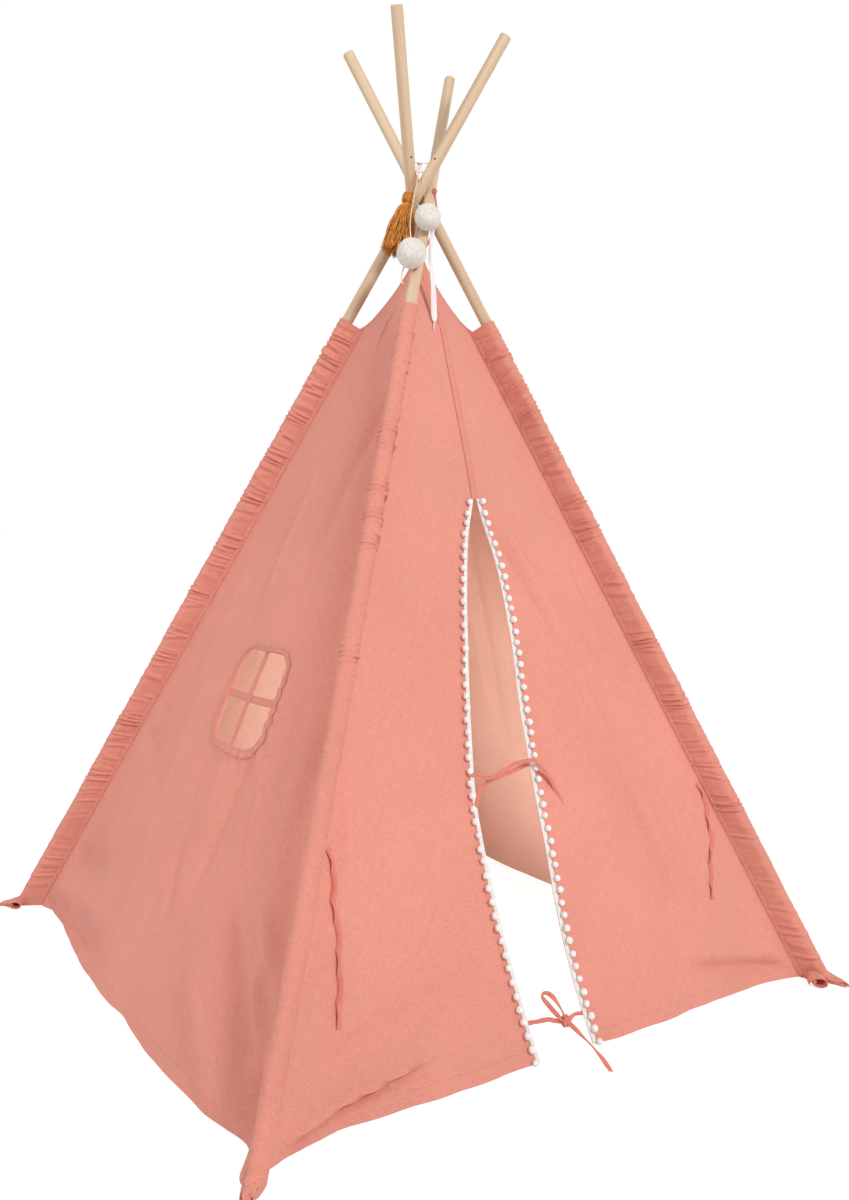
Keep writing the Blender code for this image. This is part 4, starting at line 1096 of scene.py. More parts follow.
def build_strap(name, reach, depth, upright):
    """One of the window's crossed straps; the lines of its two seams are given back."""
    rows = []
    for level in np.linspace(-1, 1, STRAP_ROWS):
        row = []
        sag = wander(level * 2.0, depth * 900, 3.0) * STRAP_SAG
        for share in np.linspace(-0.5, 0.5, STRAP_COLUMNS):
            lift = STRAP_CROWN * math.cos(math.pi * share) + sag
            aside = STRAP_WANDER * wander(level * 1.6, 8.0, depth * 700)
            a, b = (STRAP_SPREAD * share + aside, reach * level)
            if not upright:
                a, b = b, -a
            row.append(tuple(window_place(a, b, depth + lift)[0]))
        rows.append(row)
    strap = link_object("strap_" + name, shell("strap_" + name, rows, STRAP_THICKNESS), "sleeve", "cover",
                        "back_left_leg", ("window_strap_" + name,))
    fold_in(strap, "back_left", "window")
    seams = []
    for edge in (-STRAP_STITCH_SHARE, STRAP_STITCH_SHARE):
        spots = []
        for level in STRAP_STITCH_LEVELS:
            a, b = STRAP_SPREAD * edge, reach * level
            spots.append(window_place(*((a, b) if upright else (b, a)), depth + STRAP_STITCH_LIFT))
        seams.append(tuple(zip(*spots)))
    return seams


def build_window(panel):
    """Cuts the opening, and adds its turned edge, its crossed straps and their seams."""
    cut_window(panel)
    build_binding()
    lines = binding_seams()
    for strap in STRAPS:
        lines += build_strap(*strap)
    fold_in(add_stitches("window_stitches", lines, "back_left_leg"), "back_left", "window")


# Panels

SIDE_COLUMNS = {"window": 141, "right": 81, "back": 81}
SIDE_ROWS = {"window": 220, "right": 150, "back": 150}
FRONT_ROWS = 150
HALF_ROW_CLEARANCE = 0.003
FLAP_ROW_CLEARANCE = 0.004
FRONT_HIGH_ROWS = 46
HALF_COLUMNS = 49
FLAP_COLUMNS = 57
FLAP_TOP = HEM_CLEARANCE + (DOOR_HEIGHT - HEM_CLEARANCE) * 0.985
# Each cut's width, length and area
PANEL_CUTS = {"window": (0.97, 1.27, 0.66), "right": (0.97, 1.27, 0.66), "back": (1.00, 1.27, 0.68),
              "front": (0.18, 1.36, 0.175), "flap_left": (0.40, 0.86, 0.109), "flap_right": (0.40, 0.86, 0.165)}
SEAM_INSET = 0.0042
SEAM_LIFT = 0.00065
SEAM_HEIGHTS = np.linspace(HEM_CLEARANCE + 0.003, SEAM_TOP - 0.004, 320)
HEM_SEAM_LIFT = 0.00105


def cloth_panel(name, rows, levels, side, body, node):
    thickness = np.array([[hem_thickness(height)] * len(rows[0]) for height in levels])
    panel = link_object(name, shell(name, rows, thickness, weave_axes(side)), "cover", "cover", body, (node,))
    line_inside(panel, len(levels), len(rows[0]))
    return panel


def hang(cut):
    width, length, area = PANEL_CUTS[cut]


def hem_line(surface, start, end, count):
    return line_on(surface, np.linspace(start, end, count), [HEM_STITCH_LEVEL] * count, HEM_SEAM_LIFT)


def build_side(side, node, corner):
    columns = np.linspace(0, 1, SIDE_COLUMNS[side])
    levels = hem_levels(SIDE_ROWS[side]) + peak_levels()
    rows = []
    for height in levels:
        across = side_row(side, height)[2]
        laps = [lap_on_sleeve(c, way, height) for c, way in zip(SIDES[side][:2], (across, -across))]
        rows.append([tuple(p) for p in laps[0][::-1] + [side_cloth(side, u, height) for u in columns] + laps[1]])
    body = corner + "_leg"
    panel = cloth_panel(node + "_cloth", rows, levels, side, body, node)
    if side == "window":
        build_window(panel)
    hang(side)
    fold_in(panel, corner, side)

    def surface(share, height, out):
        return side_cloth(side, share, height, out)

    lines = [hem_line(surface, 0.004, 0.996, 260)]
    for edge in (SEAM_INSET, -SEAM_INSET):
        shares = [(edge / side_length(side, height)) % 1.0 for height in SEAM_HEIGHTS]
        lines.append(line_on(surface, shares, SEAM_HEIGHTS, SEAM_LIFT))
    fold_in(add_stitches(node + "_stitches", lines, body), corner, side)


def facing_out(hand, line):
    """Turns the ways out of a line on the front, whose shares run towards the middle from either side."""
    points, normals = line
    return points, [normal * -hand for normal in normals]


def build_front_half(hand, node, corner):
    columns = np.linspace(0, 1, HALF_COLUMNS)
    low = [height for height in hem_levels(FRONT_ROWS) if height < DOOR_HEIGHT - HALF_ROW_CLEARANCE]
    levels = low + list(np.linspace(DOOR_HEIGHT, SEAM_TOP, FRONT_HIGH_ROWS)) + peak_levels()
    rows = []
    for height in levels:
        lap = lap_on_sleeve(corner, side_row("front", height)[2] * -hand, height)
        row = [tuple(p) for p in lap[::-1] + [half_cloth(hand, u, height) for u in columns]]
        rows.append(row[::-hand])
    body = corner + "_leg"
    panel = cloth_panel(node + "_cloth", rows, levels, "front", body, node)
    hang("front")
    fold_in(panel, corner)

    def surface(share, height, out):
        return half_cloth(hand, share, height, out)

    shares = [SEAM_INSET / (front_outer(hand, h) - front_inner(hand, h)).length for h in SEAM_HEIGHTS]
    lines = [facing_out(hand, hem_line(surface, 0.02, 0.99, 40)),
             facing_out(hand, line_on(surface, shares, SEAM_HEIGHTS, SEAM_LIFT))]
    fold_in(add_stitches(node + "_stitches", lines, body), corner)


def build_flap(hand, key, corner):
    levels = [height for height in hem_levels(FRONT_ROWS) if height < FLAP_TOP - FLAP_ROW_CLEARANCE] + [FLAP_TOP]
    columns = np.linspace(0, 1, FLAP_COLUMNS)[::-hand]
    rows = [[tuple(flap_cloth(hand, u, height)) for u in columns] for height in levels]
    node, body = "door_flap_" + key, "door_" + key
    flap = cloth_panel(node + "_cloth", rows, levels, "front", body, node)
    hang("flap_" + key)
    fold_in(flap, corner)

    def surface(share, height, out):
        return flap_cloth(hand, share, height, out)

    line = facing_out(hand, hem_line(surface, 0.01, 0.99, 90))
    fold_in(add_stitches(node + "_stitches", [line], body), corner)


PLACKET_LOW = DOOR_HEIGHT - 0.004
PLACKET_HIGH = PEAK_HEIGHT - 0.012
PLACKET_ROWS = 90
PLACKET_COLUMNS = 9
PLACKET_FLAT = (0.012, 0.43)
PLACKET_THICKNESS = 0.0011
PLACKET_LIFT = CLOTH / 2 + GAP + 0.0006
PLACKET_CROWN = 0.0003
PLACKET_STITCH_LIFT = CLOTH / 2 + GAP + 0.00125
PLACKET_STITCH_SHARE = 0.34


def build_placket():
    """The felled centre seam above the slit, with two rows of stitches."""
    rows, lines = [], [([], []), ([], [])]
    for height in np.linspace(PLACKET_LOW, PLACKET_HIGH, PLACKET_ROWS):
        width = min(PLACKET_FLAT[0], side_length("front", height) / 2)
        tangent = front_tangent(height)
        row = []
        for share in np.linspace(-0.5, 0.5, PLACKET_COLUMNS):
            point = front_middle(height) + tangent * width * share
            lift = PLACKET_LIFT + PLACKET_CROWN * math.cos(math.pi * share)
            row.append(tuple(front_cloth(point, height, 0.5, lift)))
        rows.append(row)
        for (points, normals), share in zip(lines, (-PLACKET_STITCH_SHARE, PLACKET_STITCH_SHARE)):
            point = front_middle(height) + tangent * width * share
            points.append(front_cloth(point, height, 0.5, PLACKET_STITCH_LIFT))
            normals.append(DOOR_ACROSS.cross(UP))
    mesh = shell("centre_placket", rows, PLACKET_THICKNESS, weave_axes("front"))
    seam = link_object("centre_placket", mesh, "sleeve", "cover", "front_left_leg", ("centre_seam",))
    fold_in(seam, "front_left")
    fold_in(add_stitches("centre_stitches", lines, "front_left_leg"), "front_left")


# Sleeves

# Strong bunches of each sleeve, as heights up the pole in metres; small gathers fill the rest
BUNCHES = {
    "front_left": (0.640, 0.815, 0.858, 0.905, 0.985, 1.010),
    "back_left": (0.300, 0.420, 0.560, 0.700, 0.800, 0.900, 0.985, 1.060, 1.120, 1.180, 1.215),
    "front_right": (0.330, 0.520, 0.640, 0.850, 0.905, 1.000, 1.080, 1.130, 1.190),
    "back_right": (0.350, 0.620, 0.880, 1.050, 1.180),
}
BUNCH_FOLDS = ((0.0, 1.0), (0.0085, 0.8), (-0.0080, 0.7), (0.0170, 0.4))
GATHER_STRENGTH = {"front_left": 0.62, "back_left": 1.15, "front_right": 1.15, "back_right": 1.0}
GATHER_START = 0.045
GATHER_END = SLEEVE_LENGTH - 0.012
SLEEVE_ARC = 19
SLEEVE_FLAT = 7


def teardrop(radius, tail, half_edge):
    """A sleeve's section round the pole, from one side of its inner seam to the other."""
    sweep = math.pi - math.acos((radius - half_edge) / tail)
    arc = [(radius * math.cos(t), radius * math.sin(t)) for t in np.linspace(-sweep, sweep, SLEEVE_ARC)]

    def flat(edge, end, shares):
        return [(-tail + (end[0] + tail) * share, edge + (end[1] - edge) * share) for share in shares]

    shares = np.linspace(0, 1, SLEEVE_FLAT)
    return np.array(flat(-half_edge, arc[0], shares[:-1]) + arc + flat(half_edge, arc[-1], shares[-2::-1]))


def gathers_of(corner):
    """Ridges of a sleeve's gathers, one row each: place up the pole, height, width, slant and lean to a side."""
    random.seed("gathers " + corner)
    ridges = []
    place = GATHER_START
    while place < GATHER_END:
        crowd = 1.0 + 0.8 * (place / SLEEVE_LENGTH) ** 2
        ridges.append((place, random.uniform(0.0004, 0.0019) * crowd * GATHER_STRENGTH[corner],
                       random.uniform(0.0020, 0.0056), random.uniform(-0.020, 0.020), random.uniform(-1.0, 1.0)))
        place += random.uniform(0.005, 0.026) / crowd
    for bunch in BUNCHES[corner]:
        for offset, size in BUNCH_FOLDS:
            ridges.append((bunch + offset, random.uniform(0.0036, 0.0048) * size, random.uniform(0.0017, 0.0028),
                           random.uniform(-0.008, 0.008), random.uniform(-0.5, 0.5)))
    return np.array(ridges)


SLEEVE_ROWS = 960
SWELL_LIMITS = (-0.0006, 0.0042)
SWELL_START = 0.016
SWELL_FADE = 0.012
TOP_FLARE = 0.0006
TOP_FLARE_REACH = 0.03
LOOSE_LIFT = 0.0008
LOOSE_WAVES = ((0.0010, 23, 1.7, 1), (0.0008, 57, -2.6, 2), (0.0005, 131, 5.0, 3))


def sleeve_swell(corner, alongs, around):
    """How far a sleeve's cloth stands out; around runs from -1 at one side of the seam to 1 at the other."""
    place, height, width, slant, lean = gathers_of(corner).T
    off = (alongs[:, None, None] - place - slant * around[:, None]) / width
    hat = (1 - off * off) * np.exp(-off * off / 2)
    fade = 0.35 + 0.65 * np.sin(np.pi * np.minimum(1.0, 1.12 * (1 - np.abs(around)) + 0.06))
    side = 1 - 0.9 * np.maximum(0.0, lean * around[:, None])
    total = (height * hat * side).sum(axis=2) * fade
    seed = len(corner) + SIDE_SEEDS["back"]
    level = alongs[:, None]
    loose = 0
    for depth, up_rate, round_rate, times in LOOSE_WAVES:
        loose = loose + depth * np.sin(level * up_rate + around * round_rate + seed * times)
    total = total + (loose + LOOSE_LIFT) * fade
    total += TOP_FLARE * np.maximum(0.0, (level - SLEEVE_LENGTH + TOP_FLARE_REACH) / TOP_FLARE_REACH)
    return np.clip(total * np.clip((level - SWELL_START) / SWELL_FADE, 0, 1), *SWELL_LIMITS)


# Rolled edges at the sleeves' feet: centre, way of the axis, length and half size
CURLS = {
    "front_right": ((0.4950, -0.5220, 0.0105), (-0.60, -0.80, 0.0), 0.030, (0.0155, 0.0088)),
    "back_left": ((-0.5440, 0.4950, 0.0085), (-0.45, -0.89, 0.0), 0.026, (0.0125, 0.0072)),
}


CURL_THICKNESS = 0.0011
CURL_TURNS = np.linspace(-0.5, 2 * math.pi * 1.12, 46)
CURL_STEPS = np.linspace(-0.5, 0.5, 13)


def build_curl(corner):
    """The loose edge at a sleeve's foot, rolled up beside the pole."""
    centre, axis, length, (wide, high) = CURLS[corner]
    axis = Vector(axis).normalized()
    across = axis.cross(UP)
    rows = []
    for step in CURL_STEPS:
        row = []
        for turn in CURL_TURNS:
            shrink = 1 - 0.055 * turn + 0.05 * math.sin(turn * 3 + step * 5)
            wave = 1 + 0.06 * math.sin(step * 7 + turn)
            row.append(tuple(Vector(centre) + axis * length * (step + 0.02 * turn)
                             + across * wide * shrink * math.cos(turn) * wave
                             + UP * high * shrink * math.sin(turn) * wave))
        rows.append(row)
    name = "sleeve_curl_" + corner
    return link_object(name, shell(name, rows, CURL_THICKNESS), "sleeve", "sleeve", corner + "_leg")


SLEEVE_FOOT_ROWS = (0.0, 0.0012, 0.0026, 0.0042, 0.0060, 0.0080, 0.0100, 0.0122, 0.0146, 0.0172, 0.0198, 0.0224)
SLEEVE_LEVELS = np.array(list(SLEEVE_FOOT_ROWS) + list(np.linspace(0.025, SLEEVE_LENGTH, SLEEVE_ROWS)))
LINING_TAIL = SLEEVE_TAIL - 0.008
LINING_LEVELS = (SLEEVE_LENGTH, SLEEVE_LENGTH - 0.012, SLEEVE_LENGTH * 0.5, 0.002)
LINING_UV_LEVELS = [1.26, 1.27, 1.9, 2.5]
CALM_TAIL = 0.0001
CRUMPLE_DEPTH = 0.0026
CRUMPLE_TOP = 0.030
CRUMPLE_START = 0.003
SLEEVE_SEAM_COLUMN = 2
SLEEVE_TOP_SEAMS = (0.0040, 0.0130)


def sleeve_rings(corner, outer, normals):
    """A sleeve's outer face, ring by ring from the floor up, with its gathers and its loose ear."""
    pole = POLES[corner]
    around = np.linspace(-1, 1, len(outer))
    level = SLEEVE_LEVELS[:, None]
    swell = sleeve_swell(corner, SLEEVE_LEVELS, around)
    swell[:, outer[:, 0] <= -SLEEVE_TAIL + CALM_TAIL] = 0.0
    out_way, side_way, up_way = (np.array(v) for v in (pole.out, pole.side, pole.direction))
    section = outer + normals * swell[..., None]
    base = np.array(pole.foot) + section[..., :1] * out_way + section[..., 1:] * side_way
    low = -base[..., 2] / up_way[2]
    top = pole.start + SLEEVE_LENGTH
    rings = base + up_way * (low + (top - low) * level / SLEEVE_LENGTH)[..., None]
    ear = EAR_LENGTHS[corner]
    ear_way = Matrix.Rotation(math.radians(EAR_TURN_DEG[corner]), 3, "Z") @ pole.radial
    fall = np.clip(1 - np.maximum(0, SLEEVE_LEVELS - EAR_LIP) / (EAR_RISE - EAR_LIP), 0, 1)[:, None] ** 1.3
    facing = np.maximum(0.0, outer[:, 0] / SLEEVE_OUTER) ** 0.8
    ruffle = 1 + 0.30 * np.sin(around * 23 + level * 420) + 0.14 * np.sin(around * 47 - level * 700)
    reach = ear * facing * fall * np.minimum(1.0, ruffle * (0.78 + 0.22 * facing))
    rings += np.array(ear_way) * reach[..., None]
    crumple = np.sin(around * 31 + level * 520 + ear * 90) * np.clip(1 - level / CRUMPLE_TOP, 0, 1)
    rings[..., 2] += CRUMPLE_DEPTH * np.abs(crumple) * facing * np.clip(level / CRUMPLE_START, 0, 1)
    return rings


def lining_ring(pole, along):
    """One ring of a sleeve's inner face."""
    top = pole.start + SLEEVE_LENGTH
    ring = []
    for out, side in teardrop(SLEEVE_INNER, LINING_TAIL, SLEEVE_SEAM / 2 - SLEEVE_WALL):
        base = pole.at(0, out, side)
        low = (SLEEVE_WALL - base.z) / pole.direction.z
        ring.append(tuple(base + pole.direction * (low + (top - low) * along / SLEEVE_LENGTH)))
    return ring


def build_sleeve(corner):
    pole = POLES[corner]
    body = corner + "_leg"
    outer = teardrop(SLEEVE_OUTER, SLEEVE_TAIL, SLEEVE_SEAM / 2)
    columns = len(outer)
    normals = unit(np.stack([np.gradient(outer[:, 1]), -np.gradient(outer[:, 0])], axis=1))
    lining = np.array([lining_ring(pole, along) for along in LINING_LEVELS])
    rings = np.concatenate([sleeve_rings(corner, outer, normals), lining])
    faces = capped_faces(np.arange(len(rings) * columns).reshape(len(rings), columns))
    uv = [(place, along) for along in list(SLEEVE_LEVELS) + LINING_UV_LEVELS for place in lengths_along(outer)]
    name = "sleeve_%s_cloth" % corner
    sleeve = link_object(name, mesh_of(name, rings.reshape(-1, 3), faces, np.array(uv), 55), "sleeve", "sleeve",
                         body, ("sleeve_" + corner,))
    extra = [build_curl(corner)] if corner in CURLS else []

    def seam(places):
        ways = [pole.out * normals[column][0] + pole.side * normals[column][1] for level, column in places]
        return [Vector(rings[level][column]) for level, column in places], ways

    upward = range(len(SLEEVE_FOOT_ROWS), len(SLEEVE_LEVELS))
    lines = [seam([(level, column) for level in upward])
             for column in (SLEEVE_SEAM_COLUMN, columns - 1 - SLEEVE_SEAM_COLUMN)]
    for drop in SLEEVE_TOP_SEAMS:
        level = int(np.argmin(np.abs(SLEEVE_LEVELS - (SLEEVE_LENGTH - drop))))
        lines.append(seam([(level, column) for column in range(1, columns - 1)]))
    add_stitches("sleeve_%s_stitches" % corner, lines, body, "sleeve")


# Pompom trim

TRIM_START = {"left": 0.0045, "right": 0.0030}
ON_CLOTH = CLOTH / 2 + GAP
TAPE_WIDTH = 0.0065
TAPE_THICKNESS = 0.0012
TAPE_LIFT = ON_CLOTH + 0.0007
TAPE_LAP = 0.0006
TAPE_WAVE = 0.0005
TAPE_ROWS = 150
TAPE_COLUMNS = 7
TAPE_SEAM_SHARE = 0.42
TAPE_SEAM_LIFT = ON_CLOTH + 0.0015
TAPE_SEAM_POINTS = 220
POM_DIAMETER = 0.0100
POM_PITCH = 0.0178
POM_INSET = {"left": 0.0088, "right": 0.0070}
POM_FLUFF = ((3.0, 0.10), (10.0, 0.13), (24.0, 0.06))
POM_SHARE = 0.97
POM_THREAD_SHARE = 0.6
POM_THREAD_LIFT = ON_CLOTH + 0.0018
POM_THREAD_RADIUS = 0.0005


def icosphere(level):
    """Points and faces of an even ball of radius 1 m."""
    ball = bmesh.new()
    bmesh.ops.create_icosphere(ball, subdivisions=level, radius=1.0)
    mesh = bpy.data.meshes.new("pattern")
    ball.to_mesh(mesh)
    ball.free()
    points = np.array([tuple(v.co) for v in mesh.vertices])
    faces = [tuple(p.vertices) for p in mesh.polygons]
    bpy.data.meshes.remove(mesh)
    return points, faces


def rough_ball(pattern, centre, radius, share, seed, layers):
    """Points of a ball with layers of noise (scale and depth), each with its seed on an axis of its own."""
    shifts = [Vector(shift) for shift in ((seed, 0, 0), (0, seed, 0), (0, 0, seed))]
    points = []
    for spot in pattern:
        way = Vector(spot)
        rough = 0
        for (scale, depth), shift in zip(layers, shifts):
            rough += noise.noise(way * scale + shift) * depth
        points.append(tuple(centre + way * radius * (share + rough)))
    return points


def build_trim(hand, key, corner):
    start = DOOR_HEIGHT - TRIM_START[key]
    body = "door_" + key

    def edge(height, inset, out):
        return door_cloth(hand, door_edge_offset(hand, height) + hand * inset, height, out)

    rows = []
    for height in np.linspace(HEM_CLEARANCE, start, TAPE_ROWS):
        row = []
        for share in np.linspace(0, 1, TAPE_COLUMNS):
            wave = TAPE_WAVE * wander(height * 40, share * 2, hand)
            row.append(tuple(edge(height, TAPE_WIDTH * share - TAPE_LAP, TAPE_LIFT + wave)))
        rows.append(row[::hand])
    name = "pompom_tape_" + key
    tape = link_object(name, shell(name, rows, TAPE_THICKNESS), "tape", "trim", body, ("pompom_trim_" + key,))
    fold_in(tape, corner)

    pattern, faces = icosphere(4)
    random.seed("pompoms " + key)
    drop = start - HEM_CLEARANCE - POM_DIAMETER
    count = int(drop / (POM_PITCH * math.hypot(DOOR_OUT.x, DOOR_OUT.y)))
    parts = []
    for number in range(count):
        height = start - POM_DIAMETER / 2 - number * drop / (count - 1)
        radius = POM_DIAMETER / 2 * random.uniform(0.92, 1.10)
        centre = edge(height + random.uniform(-0.0012, 0.0012), POM_INSET[key] + random.uniform(-0.0006, 0.0016),
                      ON_CLOTH + radius + random.uniform(0, 0.0006))
        parts.append((rough_ball(pattern, centre, radius, POM_SHARE, random.uniform(0, 90), POM_FLUFF), faces))
        near = edge(height, TAPE_WIDTH * POM_THREAD_SHARE, POM_THREAD_LIFT)
        middle = near.lerp(centre, 0.5) + DOOR_OUT * 0.0006
        parts.append(tube_part([near, middle, centre], POM_THREAD_RADIUS, 5))
    fold_in(link_parts("pompoms_" + key, parts, "pompom", "trim", body), corner)
    heights = np.linspace(HEM_CLEARANCE + 0.004, start - 0.003, TAPE_SEAM_POINTS)
    points = [edge(height, TAPE_WIDTH * TAPE_SEAM_SHARE, TAPE_SEAM_LIFT) for height in heights]
    line = (points, [DOOR_OUT] * len(points))
    fold_in(add_stitches("pompom_stitches_" + key, [line], body, "trim", "cord"), corner)


# Ribbons, laces and cords

RIBBON_WIDTH = 0.0062
RIBBON_THICKNESS = 0.0014
STRIP_COLUMNS = 7
# Points for each stretch of a smoothed route
ROUTE_STEPS = 8
TIEBACK_STEPS = 12
THREAD_STEPS = 10
TAIL_STEPS = 7
TASSEL_STEPS = 12
UPPER_TIE_LEFT_ROUTE = [(-0.110, 0.384, -0.0015), (-0.099, 0.381, -0.0015), (-0.088, 0.377, 0.0010),
                        (-0.070, 0.374, 0.0060), (-0.041, 0.384, 0.0080), (-0.020, 0.389, 0.0100),
                        (0.006, 0.389, 0.0135), (0.018, 0.380, 0.0140), (0.034, 0.364, 0.0095),
                        (0.050, 0.338, 0.0030), (0.060, 0.312, 0.0018)]
UPPER_TIE_RIGHT_ROUTE = [(0.020, 0.386, -0.0015), (0.006, 0.386, -0.0018), (-0.030, 0.378, -0.0040),
                         (-0.066, 0.372, -0.0040), (-0.082, 0.366, -0.0030), (-0.096, 0.355, -0.0018),
                         (-0.106, 0.338, -0.0015)]
LOWER_TIE_LEFT_ROUTE = [(-0.096, 0.052, -0.0015), (-0.084, 0.052, -0.0015), (-0.070, 0.051, 0.0010),
                        (-0.052, 0.050, 0.0050), (-0.040, 0.046, 0.0062), (-0.0297, 0.043, 0.0065)]
LOWER_TIE_RIGHT_ROUTE = [(0.026, 0.043, -0.0015), (0.014, 0.044, -0.0013), (0.002, 0.045, 0.0012),
                         (-0.012, 0.043, 0.0055), (-0.022, 0.042, 0.0065)]
LOOP_ROUTE = [(-0.022, 0.042, 0.0075), (-0.037, 0.051, 0.0120), (-0.052, 0.067, 0.0150),
              (-0.062, 0.079, 0.0160), (-0.062, 0.085, 0.0190), (-0.054, 0.083, 0.0220),
              (-0.042, 0.069, 0.0220), (-0.031, 0.053, 0.0170), (-0.022, 0.042, 0.0110)]
BOW_TAIL = [(-0.0127, -0.4960, 0.0300), (-0.0040, -0.5170, 0.0140), (-0.0115, -0.5500, 0.0050)]
TIEBACK_ROUTES = {
    "left": [(0.0092, 0.318), (0.0210, 0.297), (0.0290, 0.262), (0.0388, 0.240), (0.0592, 0.184),
             (0.0728, 0.130), (0.0796, 0.108)],
    "right": [(0.0091, 0.321), (0.0090, 0.300), (0.0246, 0.268), (0.0410, 0.232), (0.0738, 0.185),
              (0.0990, 0.142)],
}
APEX_TIE_ROUTE = ((0.0128, -0.0238, 1.3230), (0.0173, -0.0237, 1.2980), (0.0186, -0.0246, 1.2760),
                  (0.0122, -0.0203, 1.2490), (0.0055, -0.0110, 1.2300), (0.0000, 0.0000, 1.2165))
LACE_ROUTE = ((-0.0100, -0.0385, 1.2800), (-0.0070, -0.0500, 1.2570), (-0.0150, -0.0590, 1.2300),
              (-0.0178, -0.0610, 1.1958), (-0.0101, -0.0610, 1.1542), (-0.0090, -0.0630, 1.1200),
              (-0.0115, -0.0700, 1.0920))
LACE_WIDTH_PLACES = (0.0, 0.25, 0.48, 0.62, 0.93, 0.985, 1.0)
LACE_WIDTHS = (0.0060, 0.0065, 0.0060, 0.0088, 0.0092, 0.0070, 0.0032)
TASSEL_CORD_PLACE = (-0.0168, -0.0108, 1.357)
BALL_THREAD_ROUTES = {
    "upper": ((-0.0135, -0.0245, 1.342),),
    "lower": ((-0.0135, -0.0135, 1.357), (-0.0520, -0.0490, 1.260)),
}
LASHING_DIAMETER = 0.0016
LASHING_TUCK = 0.0060
LASHING_BEND = 0.0150
THREAD_DIAMETER = 0.0026
THIN_THREAD_DIAMETER = 0.0012
HANG_SHARES = {"tassel": 0.38, "lower": 0.43, "upper": 0.48}
BALL_DIAMETERS = {"upper": 0.0440, "lower": 0.0490}
BALL_PLACES = {"upper": (0.0834, 21.7), "lower": (0.1670, -5.1)}


def strip_mesh(name, route, width, thickness, facing, twist_deg, cup, waves):
    """A woven strip along a route: it cups a little across and twists gently along."""
    path = np.array([tuple(p) for p in route])
    lengths = lengths_along(path)
    rows = []
    for place, along, way, wide, length in zip(path, unit(np.gradient(path, axis=0)),
                                               np.broadcast_to(np.array(facing, float), path.shape),
                                               np.broadcast_to(width, len(path)), lengths):
        side = unit(np.cross(along, way))
        up = np.cross(side, along)
        turn = math.radians(twist_deg) * math.sin(length / lengths[-1] * math.pi * 2 * waves)
        across = side * math.cos(turn) + up * math.sin(turn)
        out = up * math.cos(turn) - side * math.sin(turn)
        rows.append([place + across * wide * spot + out * (cup * (math.cos(math.pi * spot) - 0.5))
                     for spot in np.linspace(-0.5, 0.5, STRIP_COLUMNS)])
    return shell(name, rows, thickness)


def declare_cord(obj, route, diameter, far_end, lay, with_pieces):
    length = sum((b - a).length for a, b in zip(route, route[1:]))
    tuple(route[0])
    [tuple(p) for p in route]
    list(with_pieces)
    return obj


def ribbon(name, route, body, replaced, paint="ribbon", slot="sleeve", width=RIBBON_WIDTH, facing=DOOR_OUT,
           far_end="bare", lay="hanging", twist_deg=30.0, thickness=RIBBON_THICKNESS, with_pieces=(), cup=0.0011,
           waves=2.0):
    mesh = strip_mesh(name, route, width, thickness, facing, twist_deg, cup, waves)
    obj = link_object(name, mesh, paint, slot, body, (replaced,))
    return declare_cord(obj, route, round(float(np.max(width)), 4), far_end, lay, with_pieces)


def lump(name, centre, size, slot, body, seed):
    """A ribbon's pulled knot: a small lumpy body with the creases of what is tied in it."""
    pattern, faces = icosphere(4)
    points = []
    for p in pattern:
        way = Vector(p)
        band = 0.10 * math.sin(9 * way.x + 4 * way.z + seed) + 0.07 * math.sin(13 * way.y - 6 * way.z)
        rough = 0.10 * noise.noise(way * 2.3 + Vector((seed, 0, 0)))
        spot = Vector((way.x * size[0], way.y * size[1], way.z * size[2])) * (1 + band + rough) / 2
        points.append(centre + spot)
    return link_object(name, mesh_of(name, points, faces, uv=pattern[:, :2] * 0.01), "ribbon", slot, body)


TIES = (("upper_ribbon_left", UPPER_TIE_LEFT_ROUTE, "left", "upper_tie_left", {}),
        ("upper_ribbon_right", UPPER_TIE_RIGHT_ROUTE, "right", "upper_tie_right", {"twist_deg": 14.0}),
        ("lower_ribbon_left", LOWER_TIE_LEFT_ROUTE, "left", "lower_tie_left", {"far_end": "object", "lay": "taut"}))
KNOT_SIZE = (0.0150, 0.0130, 0.0170)
BOW_TAIL_FACING = (0.25, -0.35, 1.0)
TIEBACK_LIFT = 0.0022


def door_places(route):
    return [door_point(offset, height, out) for offset, height, out in route]


def build_ties():
    for name, route, key, node, looks in TIES:
        tie = ribbon(name, smooth_route(door_places(route), ROUTE_STEPS), "door_" + key, node, **looks)
        fold_in(tie, "front_" + key)
    knot = lump("bow_knot", door_point(*LOOP_ROUTE[0]), KNOT_SIZE, "sleeve", "door_right", 2.0)
    fold_in(knot, "front_right")
    places = door_places(LOWER_TIE_RIGHT_ROUTE + LOOP_ROUTE[1:]) + [Vector(p) for p in BOW_TAIL]
    route = smooth_route(places, ROUTE_STEPS)
    share = np.clip(np.linspace(-1.6, 1.0, len(route)), 0, 1)[:, None]
    facing = unit(np.array(DOOR_OUT) * (1 - share) + np.array(BOW_TAIL_FACING) * share)
    bow = ribbon("bow_ribbon", route, "door_right", "lower_tie_bow", with_pieces=[knot], facing=facing,
                 twist_deg=38.0, waves=4.0)
    fold_in(bow, "front_right")
    for hand, key in ((-1, "left"), (1, "right")):
        places = []
        for inset, height in TIEBACK_ROUTES[key]:
            share = inset / (front_outer(hand, height) - fold_point(hand, height)).length
            places.append(half_cloth(hand, share, height) + DOOR_OUT * TIEBACK_LIFT)
        back = ribbon("tieback_ribbon_" + key, smooth_route(places, TIEBACK_STEPS), "front_%s_leg" % key,
                      "tieback_" + key, width=0.0086, cup=0.0022, twist_deg=46.0, waves=3.5)
        fold_in(back, "front_" + key)


